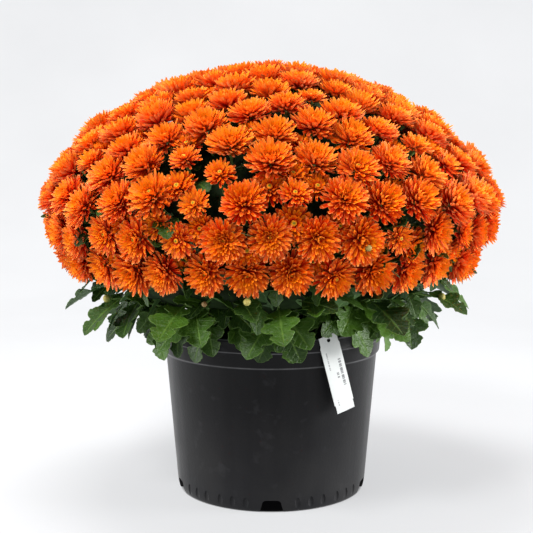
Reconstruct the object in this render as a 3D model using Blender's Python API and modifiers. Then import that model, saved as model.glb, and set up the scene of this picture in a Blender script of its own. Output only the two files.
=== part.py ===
"""Pot chrysanthemum: a cushion of orange blooms on leafy shoots, in a plastic nursery pot.

Metres, +Z up. The origin is on the floor, on the pot's axis, and the front is towards -Y.
"""

import math
import random

import bmesh
import bpy
import numpy as np
from mathutils import Matrix, Vector

OBJECT_NAME = "pot_chrysanthemum"
TOUCH_GAP = 0.0003

# Pot, turned about Z: radii and heights of its outer side.
POT_SIDES = 30
POT_HEIGHT = 0.192
LIP_RADIUS = 0.1285
UPPER_BAND_FOOT = 0.178
LOWER_BAND_RADIUS = 0.1268
LOWER_BAND_FOOT = 0.1625
WALL_TOP_RADIUS = 0.1222
WALL_TOP = 0.159
BASE_RADIUS = 0.1092
BASE_CORNER = 0.0055
FOOT_RADIUS = 0.1072
POT_WALL = 0.0022
SKIRT_HEIGHT = 0.015
FLOOR_THICKNESS = 0.0025

NOTCH_COUNT = 5
NOTCH_WIDTH = 0.021
NOTCH_HEIGHT = 0.0135
NOTCH_FLARE = 1.15

SOIL_TOP = 0.166
SOIL_CROWN = 0.004
STEM_HOLE_DEPTH = 0.022
HOLE_SIDES = 5

# Bloom cushion: the surface that the blooms' hearts lie on, a dome of two superellipse arcs.
DOME_CENTRE_X = -0.0018
DOME_RADIUS = 0.2495
DOME_WAIST = 0.325
DOME_RISE = 0.1545
DOME_POWER = 1.78
DOME_SKIRT_DEPTH = 0.215
DOME_SKIRT_POWER = 1.5
DOME_LOWEST = 0.271

BLOOM_COUNT = 246
SPRAY_COUNT = 38
NEIGHBOUR_REACH = 0.08
GOLDEN_ANGLE = math.pi * (3 - math.sqrt(5))
SPREAD_REACH = 1.25
SPREAD_STEP = 0.18
SPREAD_ROUNDS = 40
SITE_JITTER = 0.0045
DEPTH_JITTER = 0.003
TILT_JITTER = 0.16
UPWARD_TILT = 0.22
LARGE_BLOOM = (0.0225, 0.0265)
SMALL_BLOOM = (0.0155, 0.0185)
SMALL_SHARE = 0.12
BLOOM_DEPTH = 0.0165
NOTCH_SHARE = 0.78
LARGE_PETALS = 5
SMALL_PETALS = 4
LINK_REACH = 0.55
LINK_RISE = 0.12
LINK_EASE = 0.05
LINK_TRIES = 8
PULL_DEPTH = 0.003

# A bloom's rings of points: shares of its radius out from the hub and up along its facing.
HEART_RISE = 0.17
TIP_RISE = -0.05
NOTCH_REACH = 0.79
TIER_REACH = 0.5
TIER_RISE = 0.3

# Crown: main stem, branches and the leafy core. Points are (radius, height).
CROWN_STEM_RADIUS = 0.009
CROWN_STEM_BEND = 0.2
BRANCH_COUNT = 7
BRANCH_RADIUS = 0.0042
BRANCH_START = (0.002, 0.183)
BRANCH_STAGGER = 0.006
BRANCH_BEND = (0.055, 0.226)
BRANCH_END = (0.125, DOME_LOWEST + 0.004)
LEAF_TIP_RISE = 0.008
LEAF_TIP_ROOM = 0.0225
CORE_SOLE = 0.206

# Leafy side shoots. Points are (radius, height); a leaf is (radius that it starts at, side of
# the stem, yaw in radians, pitch in degrees, length).
SHOOT_COUNT = 12
SHOOT_PHASE = math.radians(2.0)
SHOOT_ROOT_RADIUS = 0.084
SHOOT_UPRIGHT_TOP = 0.19
SHOOT_BEND = (0.112, 0.2145)
SHOOT_END = (0.186, 0.237)
SHOOT_LIFT = 0.003
SHOOT_STEM_RADIUS = 0.0017
SHOOT_LEAVES = (
    (0.132, -1, 0.0, -68, 0.062),
    (0.14, 1, 0.0, -60, 0.06),
    (0.157, -1, 0.2, -40, 0.06),
    (0.167, 1, 0.2, -34, 0.06),
    (0.185, 0, 0.0, -20, 0.056),
)
LEAF_SPLAY = 0.4
LEAF_TRIES = 14
LEAF_CEILING = DOME_LOWEST - 0.03
LEAF_THICKNESS = 0.0008
LEAF_POINTS = 11
LEAF_ROOT = 8
SIDE_OVERLAP = 0.009
BUD_RADIUS = 0.0045
BUD_SHOOTS = (2, 6, 10)
BUD_PLACE = (0.206, 0.234)
BUD_STALK_START = 0.176
BUD_STALK_RADII = (0.0012, 0.001)

# Hang tag, in the upright plane that touches the rim at this turn from the front.
TAG_TURN = math.radians(27.0)
TAG_TILT = math.radians(-16.0)
TAG_WIDTH = 0.024
TAG_LENGTH = 0.087
TAG_THICKNESS = 0.0008
TAG_TOP = 0.1955
TAG_SHOULDER = 0.001
TAG_SHOULDER_TOP = 0.008
TAG_SHOULDER_FOOT = 0.0095
TAG_LOWER_TAPER = 0.009
TAG_HOLE_RADIUS = 0.0022
TAG_HOLE_SIDES = 10
TAG_HOLE_DROP = 0.0055
HOOK_WIDTH = 0.006
HOOK_DEPTH = 0.016
HOOK_THICKNESS = 0.0006
HOOK_SINK = 0.002
HOOK_RISE = 0.001


def clear_scene():
    """Remove every object that is in the scene."""
    for old in list(bpy.data.objects):
        bpy.data.objects.remove(old, do_unlink=True)


def new_collection(name):
    """A collection under the scene's own."""
    group = bpy.data.collections.new(name)
    bpy.context.scene.collection.children.link(group)
    return group


def material(name, colour, roughness):
    """A Principled material of one colour."""
    finish = bpy.data.materials.new(name)
    finish.use_nodes = True
    shader = finish.node_tree.nodes["Principled BSDF"]
    shader.inputs["Base Color"].default_value = (*colour, 1.0)
    shader.inputs["Roughness"].default_value = roughness
    shader.inputs["Metallic"].default_value = 0.0
    return finish


def place(name, mesh, group, finish=None):
    """An object of the mesh in the collection, with its material."""
    body = bpy.data.objects.new(name, mesh)
    group.objects.link(body)
    if finish:
        mesh.materials.clear()
        mesh.materials.append(finish)
    return body


def place_cutter(name, mesh, group):
    """A cutter: left out of renders and drawn as wire."""
    cutter = place(name, mesh, group)
    cutter.hide_render = True
    cutter.display_type = "WIRE"
    return cutter


def mesh_of(bm, name):
    """Turn a bmesh into mesh data and free it."""
    mesh = bpy.data.meshes.new(name)
    bm.to_mesh(mesh)
    bm.free()
    return mesh


def face_outwards(bm):
    """Point the faces of a closed mesh outwards, which a thin plate needs its volume to tell."""
    bmesh.ops.recalc_face_normals(bm, faces=bm.faces)
    if bm.calc_volume(signed=True) < 0:
        bmesh.ops.reverse_faces(bm, faces=bm.faces)


def baked(body):
    """The body's mesh with its modifiers applied, in world space."""
    bpy.context.view_layer.update()
    depsgraph = bpy.context.evaluated_depsgraph_get()
    mesh = bpy.data.meshes.new_from_object(body.evaluated_get(depsgraph))
    mesh.transform(body.matrix_world)
    return mesh


def boolean(body, operation, group, solver="EXACT"):
    """A Boolean modifier that works with a whole collection."""
    modifier = body.modifiers.new(operation.lower(), "BOOLEAN")
    modifier.operation = operation
    modifier.operand_type = "COLLECTION"
    modifier.collection = group
    modifier.solver = solver
    return modifier


def fuse(name, meshes, group, finish):
    """Join closed, overlapping meshes into one object with one Boolean union."""
    repeats = new_collection(name + "_repeats")
    base = place(name + "_base", meshes[0], group)
    for number, mesh in enumerate(meshes[1:]):
        place(f"{name}_{number}", mesh, repeats)
    boolean(base, "UNION", repeats, "MANIFOLD")
    joined = baked(base)
    for repeat in list(repeats.objects):
        bpy.data.objects.remove(repeat, do_unlink=True)
    bpy.data.collections.remove(repeats)
    bpy.data.objects.remove(base, do_unlink=True)
    return place(name, joined, group, finish)


def tube(name, points, radii):
    """A closed four-sided tube along a polyline, as a welded mesh."""
    curve = bpy.data.curves.new(name, "CURVE")
    curve.dimensions = "3D"
    curve.bevel_depth = 1.0
    curve.bevel_resolution = 0
    curve.use_fill_caps = True
    spline = curve.splines.new("POLY")
    spline.points.add(len(points) - 1)
    for knot, point, radius in zip(spline.points, points, radii, strict=True):
        knot.co = (*point, 1.0)
        knot.radius = radius
    body = bpy.data.objects.new(name, curve)
    bpy.context.scene.collection.objects.link(body)
    mesh = baked(body)
    bpy.data.objects.remove(body, do_unlink=True)
    bm = bmesh.new()
    bm.from_mesh(mesh)
    bmesh.ops.remove_doubles(bm, verts=bm.verts, dist=0.00001)
    bmesh.ops.triangulate(bm, faces=bm.faces)
    face_outwards(bm)
    return mesh_of(bm, name)


def cylindrical(radius, turn, height):
    """A point at a turn from the front, counted towards +X."""
    return Vector((radius * math.sin(turn), -radius * math.cos(turn), height))


def make_pot(group, cutters, finish):
    """Turn the pot's wall, floor, lip and foot skirt, then cut the drainage notches."""
    inner_foot = FOOT_RADIUS - 2 * POT_WALL
    floor_radius = BASE_RADIUS - POT_WALL
    floor_top = SKIRT_HEIGHT + FLOOR_THICKNESS
    profile = (
        (0.0, floor_top),
        (floor_radius, floor_top),
        (WALL_TOP_RADIUS - POT_WALL, WALL_TOP),
        (LIP_RADIUS - 2 * POT_WALL, POT_HEIGHT - POT_WALL),
        (LIP_RADIUS - POT_WALL, POT_HEIGHT),
        (LIP_RADIUS, POT_HEIGHT - 0.0015),
        (LIP_RADIUS - 0.0004, UPPER_BAND_FOOT),
        (LOWER_BAND_RADIUS, UPPER_BAND_FOOT - 0.0015),
        (LOWER_BAND_RADIUS - 0.0014, LOWER_BAND_FOOT),
        (WALL_TOP_RADIUS, WALL_TOP),
        (BASE_RADIUS, BASE_CORNER),
        (FOOT_RADIUS, 0.0),
        (inner_foot, 0.0),
        (inner_foot, SKIRT_HEIGHT),
        (0.0, SKIRT_HEIGHT),
    )
    mesh = bpy.data.meshes.new("pot")
    edges = [(k, k + 1) for k in range(len(profile) - 1)]
    mesh.from_pydata([(r, 0.0, z) for r, z in profile], edges, [])
    pot = place("pot", mesh, group, finish)
    screw = pot.modifiers.new("turn", "SCREW")
    screw.angle = math.tau
    screw.steps = POT_SIDES
    screw.render_steps = POT_SIDES
    screw.use_merge_vertices = True
    screw.merge_threshold = 0.0001
    screw.use_smooth_shade = False
    for number in range(NOTCH_COUNT):
        bm = bmesh.new()
        bmesh.ops.create_cube(bm, size=1.0)
        for corner in bm.verts:
            flare = NOTCH_FLARE if corner.co.z < 0 else 1.0
            corner.co.x *= NOTCH_WIDTH * flare
            corner.co.y = corner.co.y * 0.016 - BASE_RADIUS + 0.003
            corner.co.z = NOTCH_HEIGHT if corner.co.z > 0 else -0.004
        turn = number * math.tau / NOTCH_COUNT
        bmesh.ops.rotate(bm, verts=bm.verts, matrix=Matrix.Rotation(turn, 3, "Z"))
        place_cutter(f"notch_{number + 1}", mesh_of(bm, "notch"), cutters)
    boolean(pot, "DIFFERENCE", cutters)
    return pot


def inner_pot_radius(height):
    """Radius of the pot's inner wall at a height between its floor and its lip."""
    heights = (SKIRT_HEIGHT + FLOOR_THICKNESS, WALL_TOP, POT_HEIGHT - POT_WALL)
    radii = (BASE_RADIUS - POT_WALL, WALL_TOP_RADIUS - POT_WALL, LIP_RADIUS - 2 * POT_WALL)
    return float(np.interp(height, heights, radii))


def make_soil(group, holes, finish):
    """Fill the pot to below its rim, a little higher at the middle, with plain stem holes."""
    bottom = SKIRT_HEIGHT + FLOOR_THICKNESS + TOUCH_GAP
    side_gap = TOUCH_GAP / math.cos(math.pi / POT_SIDES)
    shoulder = WALL_TOP - 0.001
    bm = bmesh.new()
    bmesh.ops.create_cone(
        bm,
        cap_ends=True,
        segments=POT_SIDES,
        radius1=inner_pot_radius(bottom) - side_gap,
        radius2=inner_pot_radius(shoulder) - side_gap,
        depth=shoulder - bottom,
        matrix=Matrix.Translation((0, 0, (shoulder + bottom) / 2)) @ Matrix.Rotation(math.pi / 2, 4, "Z"),
    )
    top = max(bm.faces, key=lambda face: face.calc_center_median().z)
    bmesh.ops.inset_individual(bm, faces=[top], thickness=0.03)
    for corner in top.verts:
        corner.co.z = SOIL_TOP
    bmesh.ops.translate(bm, verts=bmesh.ops.poke(bm, faces=[top])["verts"], vec=(0, 0, SOIL_CROWN))
    soil = place("soil", mesh_of(bm, "soil"), group, finish)
    boolean(soil, "DIFFERENCE", holes)
    return soil


def stem_hole(name, point, radius, holes):
    """A cutter for the plain hole that a stem stands in, with the stem's radius inside its flats."""
    bm = bmesh.new()
    radius /= math.cos(math.pi / HOLE_SIDES)
    floor = SOIL_TOP - STEM_HOLE_DEPTH - TOUCH_GAP
    top = SOIL_TOP + 0.02
    bmesh.ops.create_cone(
        bm,
        cap_ends=True,
        segments=HOLE_SIDES,
        radius1=radius,
        radius2=radius,
        depth=top - floor,
        matrix=Matrix.Translation((point.x, point.y, (top + floor) / 2)),
    )
    place_cutter(name, mesh_of(bm, "stem_hole"), holes)


def dome_meridian():
    """The cushion's outline from its top down: radii, heights and the area above each."""
    angles = np.linspace(0.0, math.pi / 2, 400)
    power = 2.0 / DOME_POWER
    upper_r = DOME_RADIUS * np.sin(angles) ** power
    upper_z = DOME_WAIST + DOME_RISE * np.cos(angles) ** power
    drop = np.linspace(0.0, DOME_WAIST - DOME_LOWEST, 100)[1:]
    lower_r = DOME_RADIUS * (1 - (drop / DOME_SKIRT_DEPTH) ** DOME_SKIRT_POWER) ** (1 / DOME_SKIRT_POWER)
    radii = np.concatenate((upper_r, lower_r))
    heights = np.concatenate((upper_z, DOME_WAIST - drop))
    steps = np.hypot(np.diff(radii), np.diff(heights))
    ring_areas = math.pi * (radii[1:] + radii[:-1]) * steps
    return radii, heights, np.concatenate(([0.0], np.cumsum(ring_areas)))


def dome_spots(count):
    """Evenly spread points of the cushion with their outward normals.

    They start on a golden-angle spiral and then push each other apart along the surface.
    """
    radii, heights, areas = dome_meridian()
    numbers = np.arange(count)
    rows = np.searchsorted(areas, (numbers + 0.5) / count * areas[-1])
    turns = numbers * GOLDEN_ANGLE
    room = math.sqrt(areas[-1] / count) * SPREAD_REACH
    for _ in range(SPREAD_ROUNDS):
        spots = np.column_stack((radii[rows] * np.cos(turns), radii[rows] * np.sin(turns), heights[rows]))
        apart = spots[:, None] - spots[None]
        distance = np.linalg.norm(apart, axis=2) + np.eye(count)
        push = np.clip(room - distance, 0, None) * (1 - np.eye(count))
        spots += (apart / distance[:, :, None] * push[:, :, None]).sum(axis=1) * SPREAD_STEP
        turns = np.arctan2(spots[:, 1], spots[:, 0])
        reach = np.hypot(spots[:, 0], spots[:, 1])
        off = np.hypot(reach[:, None] - radii[None], spots[:, 2:3] - heights[None])
        rows = off.argmin(axis=1)
    placed = []
    for row, turn in zip(rows, turns, strict=True):
        row = max(int(row), 1)
        along = Vector((radii[row] - radii[row - 1], 0.0, heights[row] - heights[row - 1])).normalized()
        spin = Matrix.Rotation(turn, 3, "Z")
        point = spin @ Vector((radii[row], 0.0, heights[row]))
        point.x += DOME_CENTRE_X
        placed.append((point, spin @ Vector((-along.z, 0.0, along.x))))
    return placed


class Bloom:
    """One bloom's place, facing, size and the neighbour that its spray joins it to."""

    def __init__(self, hub, facing, radius, petals):
        self.hub = hub
        self.facing = facing
        self.radius = radius
        self.petals = petals
        self.joined = None
        self.points = []

    def foot(self):
        return self.hub - self.facing * BLOOM_DEPTH


def spread_blooms(rng):
    """Place the blooms: jittered, tilted a little up, most large and some small."""
    blooms = []
    for point, normal in dome_spots(BLOOM_COUNT):
        side = normal.orthogonal().normalized()
        drift = Matrix.Rotation(rng.uniform(0, math.tau), 3, normal) @ side
        hub = point + drift * rng.uniform(0, SITE_JITTER)
        hub += normal * rng.uniform(-DEPTH_JITTER, DEPTH_JITTER)
        tilt = Matrix.Rotation(rng.uniform(0, math.tau), 3, normal) @ side
        facing = (normal + tilt * rng.uniform(0, TILT_JITTER) + Vector((0, 0, UPWARD_TILT))).normalized()
        small = rng.random() < SMALL_SHARE
        radius = rng.uniform(*(SMALL_BLOOM if small else LARGE_BLOOM))
        blooms.append(Bloom(hub, facing, radius, SMALL_PETALS if small else LARGE_PETALS))
    return blooms


def group_sprays(blooms):
    """Share the blooms out among the sprays' centres and join each spray by its shortest links."""
    centres = [point for point, _ in dome_spots(SPRAY_COUNT)]
    sprays = [[] for _ in centres]
    for bloom in blooms:
        nearest = min(range(len(centres)), key=lambda k: (centres[k] - bloom.hub).length)
        sprays[nearest].append(bloom)
    for spray in sprays:
        reached, waiting = spray[:1], spray[1:]
        while waiting:
            links = ((a, b) for a in reached for b in waiting)
            near, far = min(links, key=lambda link: (link[0].hub - link[1].hub).length)
            far.joined = near
            reached.append(far)
            waiting.remove(far)
    return [spray for spray in sprays if spray]


def excess(point, bloom, other):
    """How far a point lies past the mid-plane between two blooms."""
    between = (other.hub - bloom.hub).normalized()
    return (point - (bloom.hub + other.hub) / 2).dot(between)


def shape_bloom(bloom, neighbours):
    """Work out a bloom's points: foot, heart, a rim of petal tips and notches, an inner tier.

    Every point is drawn in to its own side of the mid-plane to each neighbour, so blooms of
    different sprays can't meet. Its first tip then reaches over the rim of the neighbour that its
    spray joins it to, where the two fuse.
    """
    radius = bloom.radius
    count = bloom.petals
    towards = bloom.joined.hub - bloom.hub if bloom.joined else bloom.facing.orthogonal()
    ahead = (towards - bloom.facing * towards.dot(bloom.facing)).normalized()

    def polar(number, share, rise):
        spin = Matrix.Rotation(number * math.tau / count, 3, bloom.facing)
        return bloom.hub + spin @ ahead * (share * radius) + bloom.facing * (rise * radius)

    points = [bloom.foot(), bloom.hub + bloom.facing * HEART_RISE * radius]
    for number in range(count):
        points.append(polar(number, 1.0, TIP_RISE))
        points.append(polar(number + 0.5, NOTCH_REACH, 0.0))
    points += [polar(number + 0.5, TIER_REACH, TIER_RISE) for number in range(count)]

    pull = bloom.hub - bloom.facing * PULL_DEPTH
    for index, point in enumerate(points):
        for other in neighbours:
            over = excess(point, bloom, other) + TOUCH_GAP
            if over > 0:
                depth = -excess(pull, bloom, other) - TOUCH_GAP
                point = pull + (point - pull) * (depth / (depth + over))
        points[index] = point

    for number in range(count):
        tips = (points[2 + 2 * number], points[2 + (2 * number + 2) % (2 * count)])
        notch = points[3 + 2 * number] - bloom.hub
        allowed = NOTCH_SHARE * min((tip - bloom.hub).length for tip in tips)
        points[3 + 2 * number] = bloom.hub + notch * min(1.0, allowed / notch.length)

    if bloom.joined:
        points[2] = link_tip(bloom, bloom.joined, neighbours)
    bloom.points = points


def link_tip(bloom, other, neighbours):
    """The end of the petal that joins a bloom to another: inside the other, clear of the rest."""
    outward = (bloom.hub - other.hub).normalized()
    half = (bloom.hub - other.hub).length / 2
    reach = LINK_REACH * min(half, other.radius)
    thirds = [third for third in neighbours if third is not other]
    for _ in range(LINK_TRIES):
        tip = other.hub + outward * reach + other.facing * LINK_RISE * other.radius
        if all(max(excess(tip, bloom, third), excess(tip, other, third)) < -TOUCH_GAP for third in thirds):
            break
        reach *= 1 - LINK_EASE
    return tip


def bloom_mesh(bloom):
    """Skin a bloom's points: petals in two tiers round a sunk heart, on a cone down to its foot."""
    count = bloom.petals
    bm = bmesh.new()
    corners = [bm.verts.new(point) for point in bloom.points]
    foot, heart = corners[:2]
    rim = corners[2 : 2 + 2 * count]
    tier = corners[2 + 2 * count :]
    for k in range(2 * count):
        bm.faces.new((rim[(k + 1) % (2 * count)], rim[k], foot))
    for k in range(count):
        tip, notch, next_tip = rim[2 * k], rim[2 * k + 1], rim[(2 * k + 2) % (2 * count)]
        after = tier[(k + 1) % count]
        bm.faces.new((tip, notch, tier[k]))
        bm.faces.new((notch, next_tip, tier[k]))
        bm.faces.new((next_tip, after, tier[k]))
        bm.faces.new((tier[k], after, heart))
    return mesh_of(bm, "bloom")


def make_sprays(blooms, group, finish):
    """Fuse each spray's blooms into one node."""
    sprays = group_sprays(blooms)
    for bloom in blooms:
        others = (other for other in blooms if other is not bloom)
        shape_bloom(bloom, [other for other in others if (other.hub - bloom.hub).length < NEIGHBOUR_REACH])
    for number, spray in enumerate(sprays, start=1):
        fuse(f"spray_{number:02d}", [bloom_mesh(bloom) for bloom in spray], group, finish)
    return sprays


def core_mesh(blooms):
    """The leafy core: a peak under each bloom's foot, and leaf tips that rise between the blooms.

    The blooms' places are laid on a sphere, whose convex hull says which of them are neighbours.
    One more point at the sphere's foot closes the core below.
    """
    waist = Vector((DOME_CENTRE_X, 0, DOME_WAIST))
    bm = bmesh.new()
    corners = {}
    for bloom in blooms:
        corners[bm.verts.new((bloom.hub - waist).normalized())] = bloom
    sole = bm.verts.new((0, 0, -1))
    bmesh.ops.convex_hull(bm, input=bm.verts)
    for corner, bloom in corners.items():
        corner.co = bloom.foot() - bloom.facing * TOUCH_GAP * 1.5
    sole.co = (0, 0, CORE_SOLE)
    for face in list(bm.faces):
        if sole in face.verts:
            continue
        owners = [corners[corner] for corner in face.verts]
        middle = face.calc_center_median()
        outward = sum((owner.facing for owner in owners), Vector()).normalized()
        clear = min((owner.foot() - middle).length for owner in owners)
        if clear > LEAF_TIP_ROOM:
            peak = bmesh.ops.poke(bm, faces=[face])["verts"][0]
            peak.co = middle + outward * LEAF_TIP_RISE
    face_outwards(bm)
    return mesh_of(bm, "core")


def make_crown(blooms, group, holes, finish):
    """Fuse the main stem, its branches and the leafy core into one green node."""
    stem_foot = SOIL_TOP - STEM_HOLE_DEPTH
    meshes = [core_mesh(blooms)]
    stem = [Vector((0, 0, z)) for z in (stem_foot, CROWN_STEM_BEND, DOME_LOWEST)]
    meshes.append(tube("stem", stem, (CROWN_STEM_RADIUS, CROWN_STEM_RADIUS * 0.9, CROWN_STEM_RADIUS * 0.7)))
    for number in range(BRANCH_COUNT):
        turn = (number + 0.3) * math.tau / BRANCH_COUNT
        start = cylindrical(BRANCH_START[0], turn, BRANCH_START[1] + BRANCH_STAGGER * (number % 2))
        bend = cylindrical(BRANCH_BEND[0], turn, BRANCH_BEND[1])
        end = cylindrical(BRANCH_END[0], turn, BRANCH_END[1])
        radii = (BRANCH_RADIUS, BRANCH_RADIUS * 0.8, BRANCH_RADIUS * 0.6)
        meshes.append(tube("branch", (start, bend, end), radii))
    fuse("crown", meshes, group, finish)
    stem_hole("crown_hole", stem[0], CROWN_STEM_RADIUS + 2 * TOUCH_GAP, holes)


def leaf_blade(root, heading, pitch, splay, roll, length, wave):
    """Upper and lower points of a lobed blade that grows from its root along a heading.

    It is turned in its own plane by the splay, then rolled, pitched down and headed.
    Each half has a basal lobe, a middle lobe and a share of the end lobe, with notches between.
    The blade folds up along its midrib and curls down towards its tip.
    """
    half = ((0.3, 0.3), (0.15, 0.43), (0.42, 0.64), (0.19, 0.71))
    ribs = ((0.0, 0.0), (0.0, 0.5), (0.0, 1.0))
    spots = [(x, y) for x, y in half] + [(-x, y) for x, y in half] + list(ribs)
    turn = Matrix.Rotation(heading, 4, "Z") @ Matrix.Rotation(pitch, 4, "X") @ Matrix.Rotation(roll, 4, "Y")
    frame = Matrix.Translation(root) @ turn @ Matrix.Rotation(math.pi + splay, 4, "Z")
    upper, lower = [], []
    for x, y in spots:
        rise = 0.22 * abs(x) - 0.24 * y * y + wave * x * math.sin(7 * y)
        upper.append(frame @ Vector((x * length, y * length, rise * length + LEAF_THICKNESS / 2)))
        lower.append(frame @ Vector((x * length, y * length, rise * length - LEAF_THICKNESS / 2)))
    return upper, lower


def leaf_mesh(upper, lower):
    """Skin a blade: triangles alike on both faces, and a wall round its edge."""
    lobe, notch, side_lobe, side_notch = range(4)
    mirror = 4
    base, rib, tip = range(8, 11)
    right = (
        (base, lobe, rib),
        (lobe, notch, rib),
        (notch, side_lobe, side_notch),
        (rib, notch, side_notch),
        (rib, side_notch, tip),
    )
    left = [tuple(k + mirror if k < mirror else k for k in reversed(face)) for face in right]
    faces = [*right, *left]
    rim = [base, lobe, notch, side_lobe, side_notch, tip]
    rim += [k + mirror for k in (side_notch, side_lobe, notch, lobe)]
    bm = bmesh.new()
    top = [bm.verts.new(point) for point in upper]
    bottom = [bm.verts.new(point) for point in lower]
    for face in faces:
        bm.faces.new([top[k] for k in face])
        bm.faces.new([bottom[k] for k in reversed(face)])
    for here, there in zip(rim, rim[1:] + rim[:1], strict=True):
        bm.faces.new((top[there], top[here], bottom[here]))
        bm.faces.new((top[there], bottom[here], bottom[there]))
    face_outwards(bm)
    return mesh_of(bm, "leaf")


def tag_place(across, out, along):
    """A point of the tag: across it, out from the rim, and up from its top edge."""
    tilted = Matrix.Rotation(TAG_TILT, 3, "Y") @ Vector((across, 0, along))
    flat = Vector((tilted.x, -LIP_RADIUS - out, tilted.z + TAG_TOP))
    return Matrix.Rotation(TAG_TURN, 3, "Z") @ flat


def near_tag(point):
    """Whether a point is in the room that the tag takes in front of the rim."""
    local = Matrix.Rotation(-TAG_TURN, 3, "Z") @ point
    flat = Matrix.Rotation(-TAG_TILT, 3, "Y") @ Vector((local.x, 0, local.z - TAG_TOP))
    in_front = LIP_RADIUS - 0.012 < -local.y < LIP_RADIUS + 0.006
    return in_front and abs(flat.x) < TAG_WIDTH / 2 + 0.003 and -TAG_LENGTH - 0.005 < flat.z < 0.012


def blade_clear(points, turn, side):
    """Whether a blade stays in its shoot's sector and on its side of the stem, off the pot and
    tag, and below the blooms. Side is -1, 0 for a leaf at the stem's end, or 1."""
    sector = math.pi / SHOOT_COUNT
    samples = list(points) + [(a + b) / 2 for a in points for b in points]
    for point in samples:
        local = Matrix.Rotation(-turn, 3, "Z") @ point
        if abs(local.x) > -local.y * math.tan(sector) - 0.0006 or local.x * side < -SIDE_OVERLAP:
            return False
        radius = math.hypot(point.x, point.y)
        if radius < LIP_RADIUS + 0.0025 and point.z < POT_HEIGHT + 0.004:
            return False
        if point.z > LEAF_CEILING or near_tag(point):
            return False
    return True


def make_shoot(number, rng, group, holes, finish):
    """One leafy shoot: a stem out of its soil hole, arching over the rim, with lobed leaves."""
    turn = SHOOT_PHASE + number * math.tau / SHOOT_COUNT
    root = cylindrical(SHOOT_ROOT_RADIUS, turn, SOIL_TOP - STEM_HOLE_DEPTH)
    lift = rng.uniform(-SHOOT_LIFT, SHOOT_LIFT)
    path = (
        root,
        cylindrical(SHOOT_ROOT_RADIUS, turn, SHOOT_UPRIGHT_TOP),
        cylindrical(SHOOT_BEND[0], turn, SHOOT_BEND[1] + lift),
        cylindrical(SHOOT_END[0], turn, SHOOT_END[1] + lift),
    )

    def on_stem(radius):
        share = (radius - SHOOT_BEND[0]) / (SHOOT_END[0] - SHOOT_BEND[0])
        return path[2].lerp(path[3], share)

    thick = SHOOT_STEM_RADIUS
    meshes = [tube("shoot_stem", path, (thick, thick, thick, thick * 0.7))]
    for radius, side, yaw, pitch, length in SHOOT_LEAVES:
        yaw = yaw * side + rng.uniform(-0.08, 0.08)
        splay = (LEAF_SPLAY + rng.uniform(-0.05, 0.1)) * side
        pitch = math.radians(pitch + rng.uniform(-8, 8))
        length *= rng.uniform(0.9, 1.12)
        roll = rng.uniform(-0.3, 0.3)
        wave = rng.uniform(0.02, 0.1)
        for _ in range(LEAF_TRIES):
            upper, lower = leaf_blade(on_stem(radius), turn + yaw, -pitch, splay, roll, length, wave)
            blade = [point for k, point in enumerate(upper + lower) if k % LEAF_POINTS != LEAF_ROOT]
            if blade_clear(blade, turn, side):
                meshes.append(leaf_mesh(upper, lower))
                break
            yaw *= 0.9
            pitch += math.radians(1)
            roll *= 0.8
            length *= 0.965
    if number in BUD_SHOOTS:
        meshes += bud_meshes(on_stem(BUD_STALK_START), cylindrical(BUD_PLACE[0], turn, BUD_PLACE[1]))
    fuse(f"shoot_{number + 1:02d}", meshes, group, finish)
    stem_hole(f"shoot_hole_{number + 1}", root, thick + 2 * TOUCH_GAP, holes)


def bud_meshes(start, end):
    """A round bud on its stalk."""
    bm = bmesh.new()
    bmesh.ops.create_icosphere(bm, subdivisions=1, radius=BUD_RADIUS, matrix=Matrix.Translation(end))
    return [tube("bud_stalk", (start, end), BUD_STALK_RADII), mesh_of(bm, "bud")]


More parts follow.
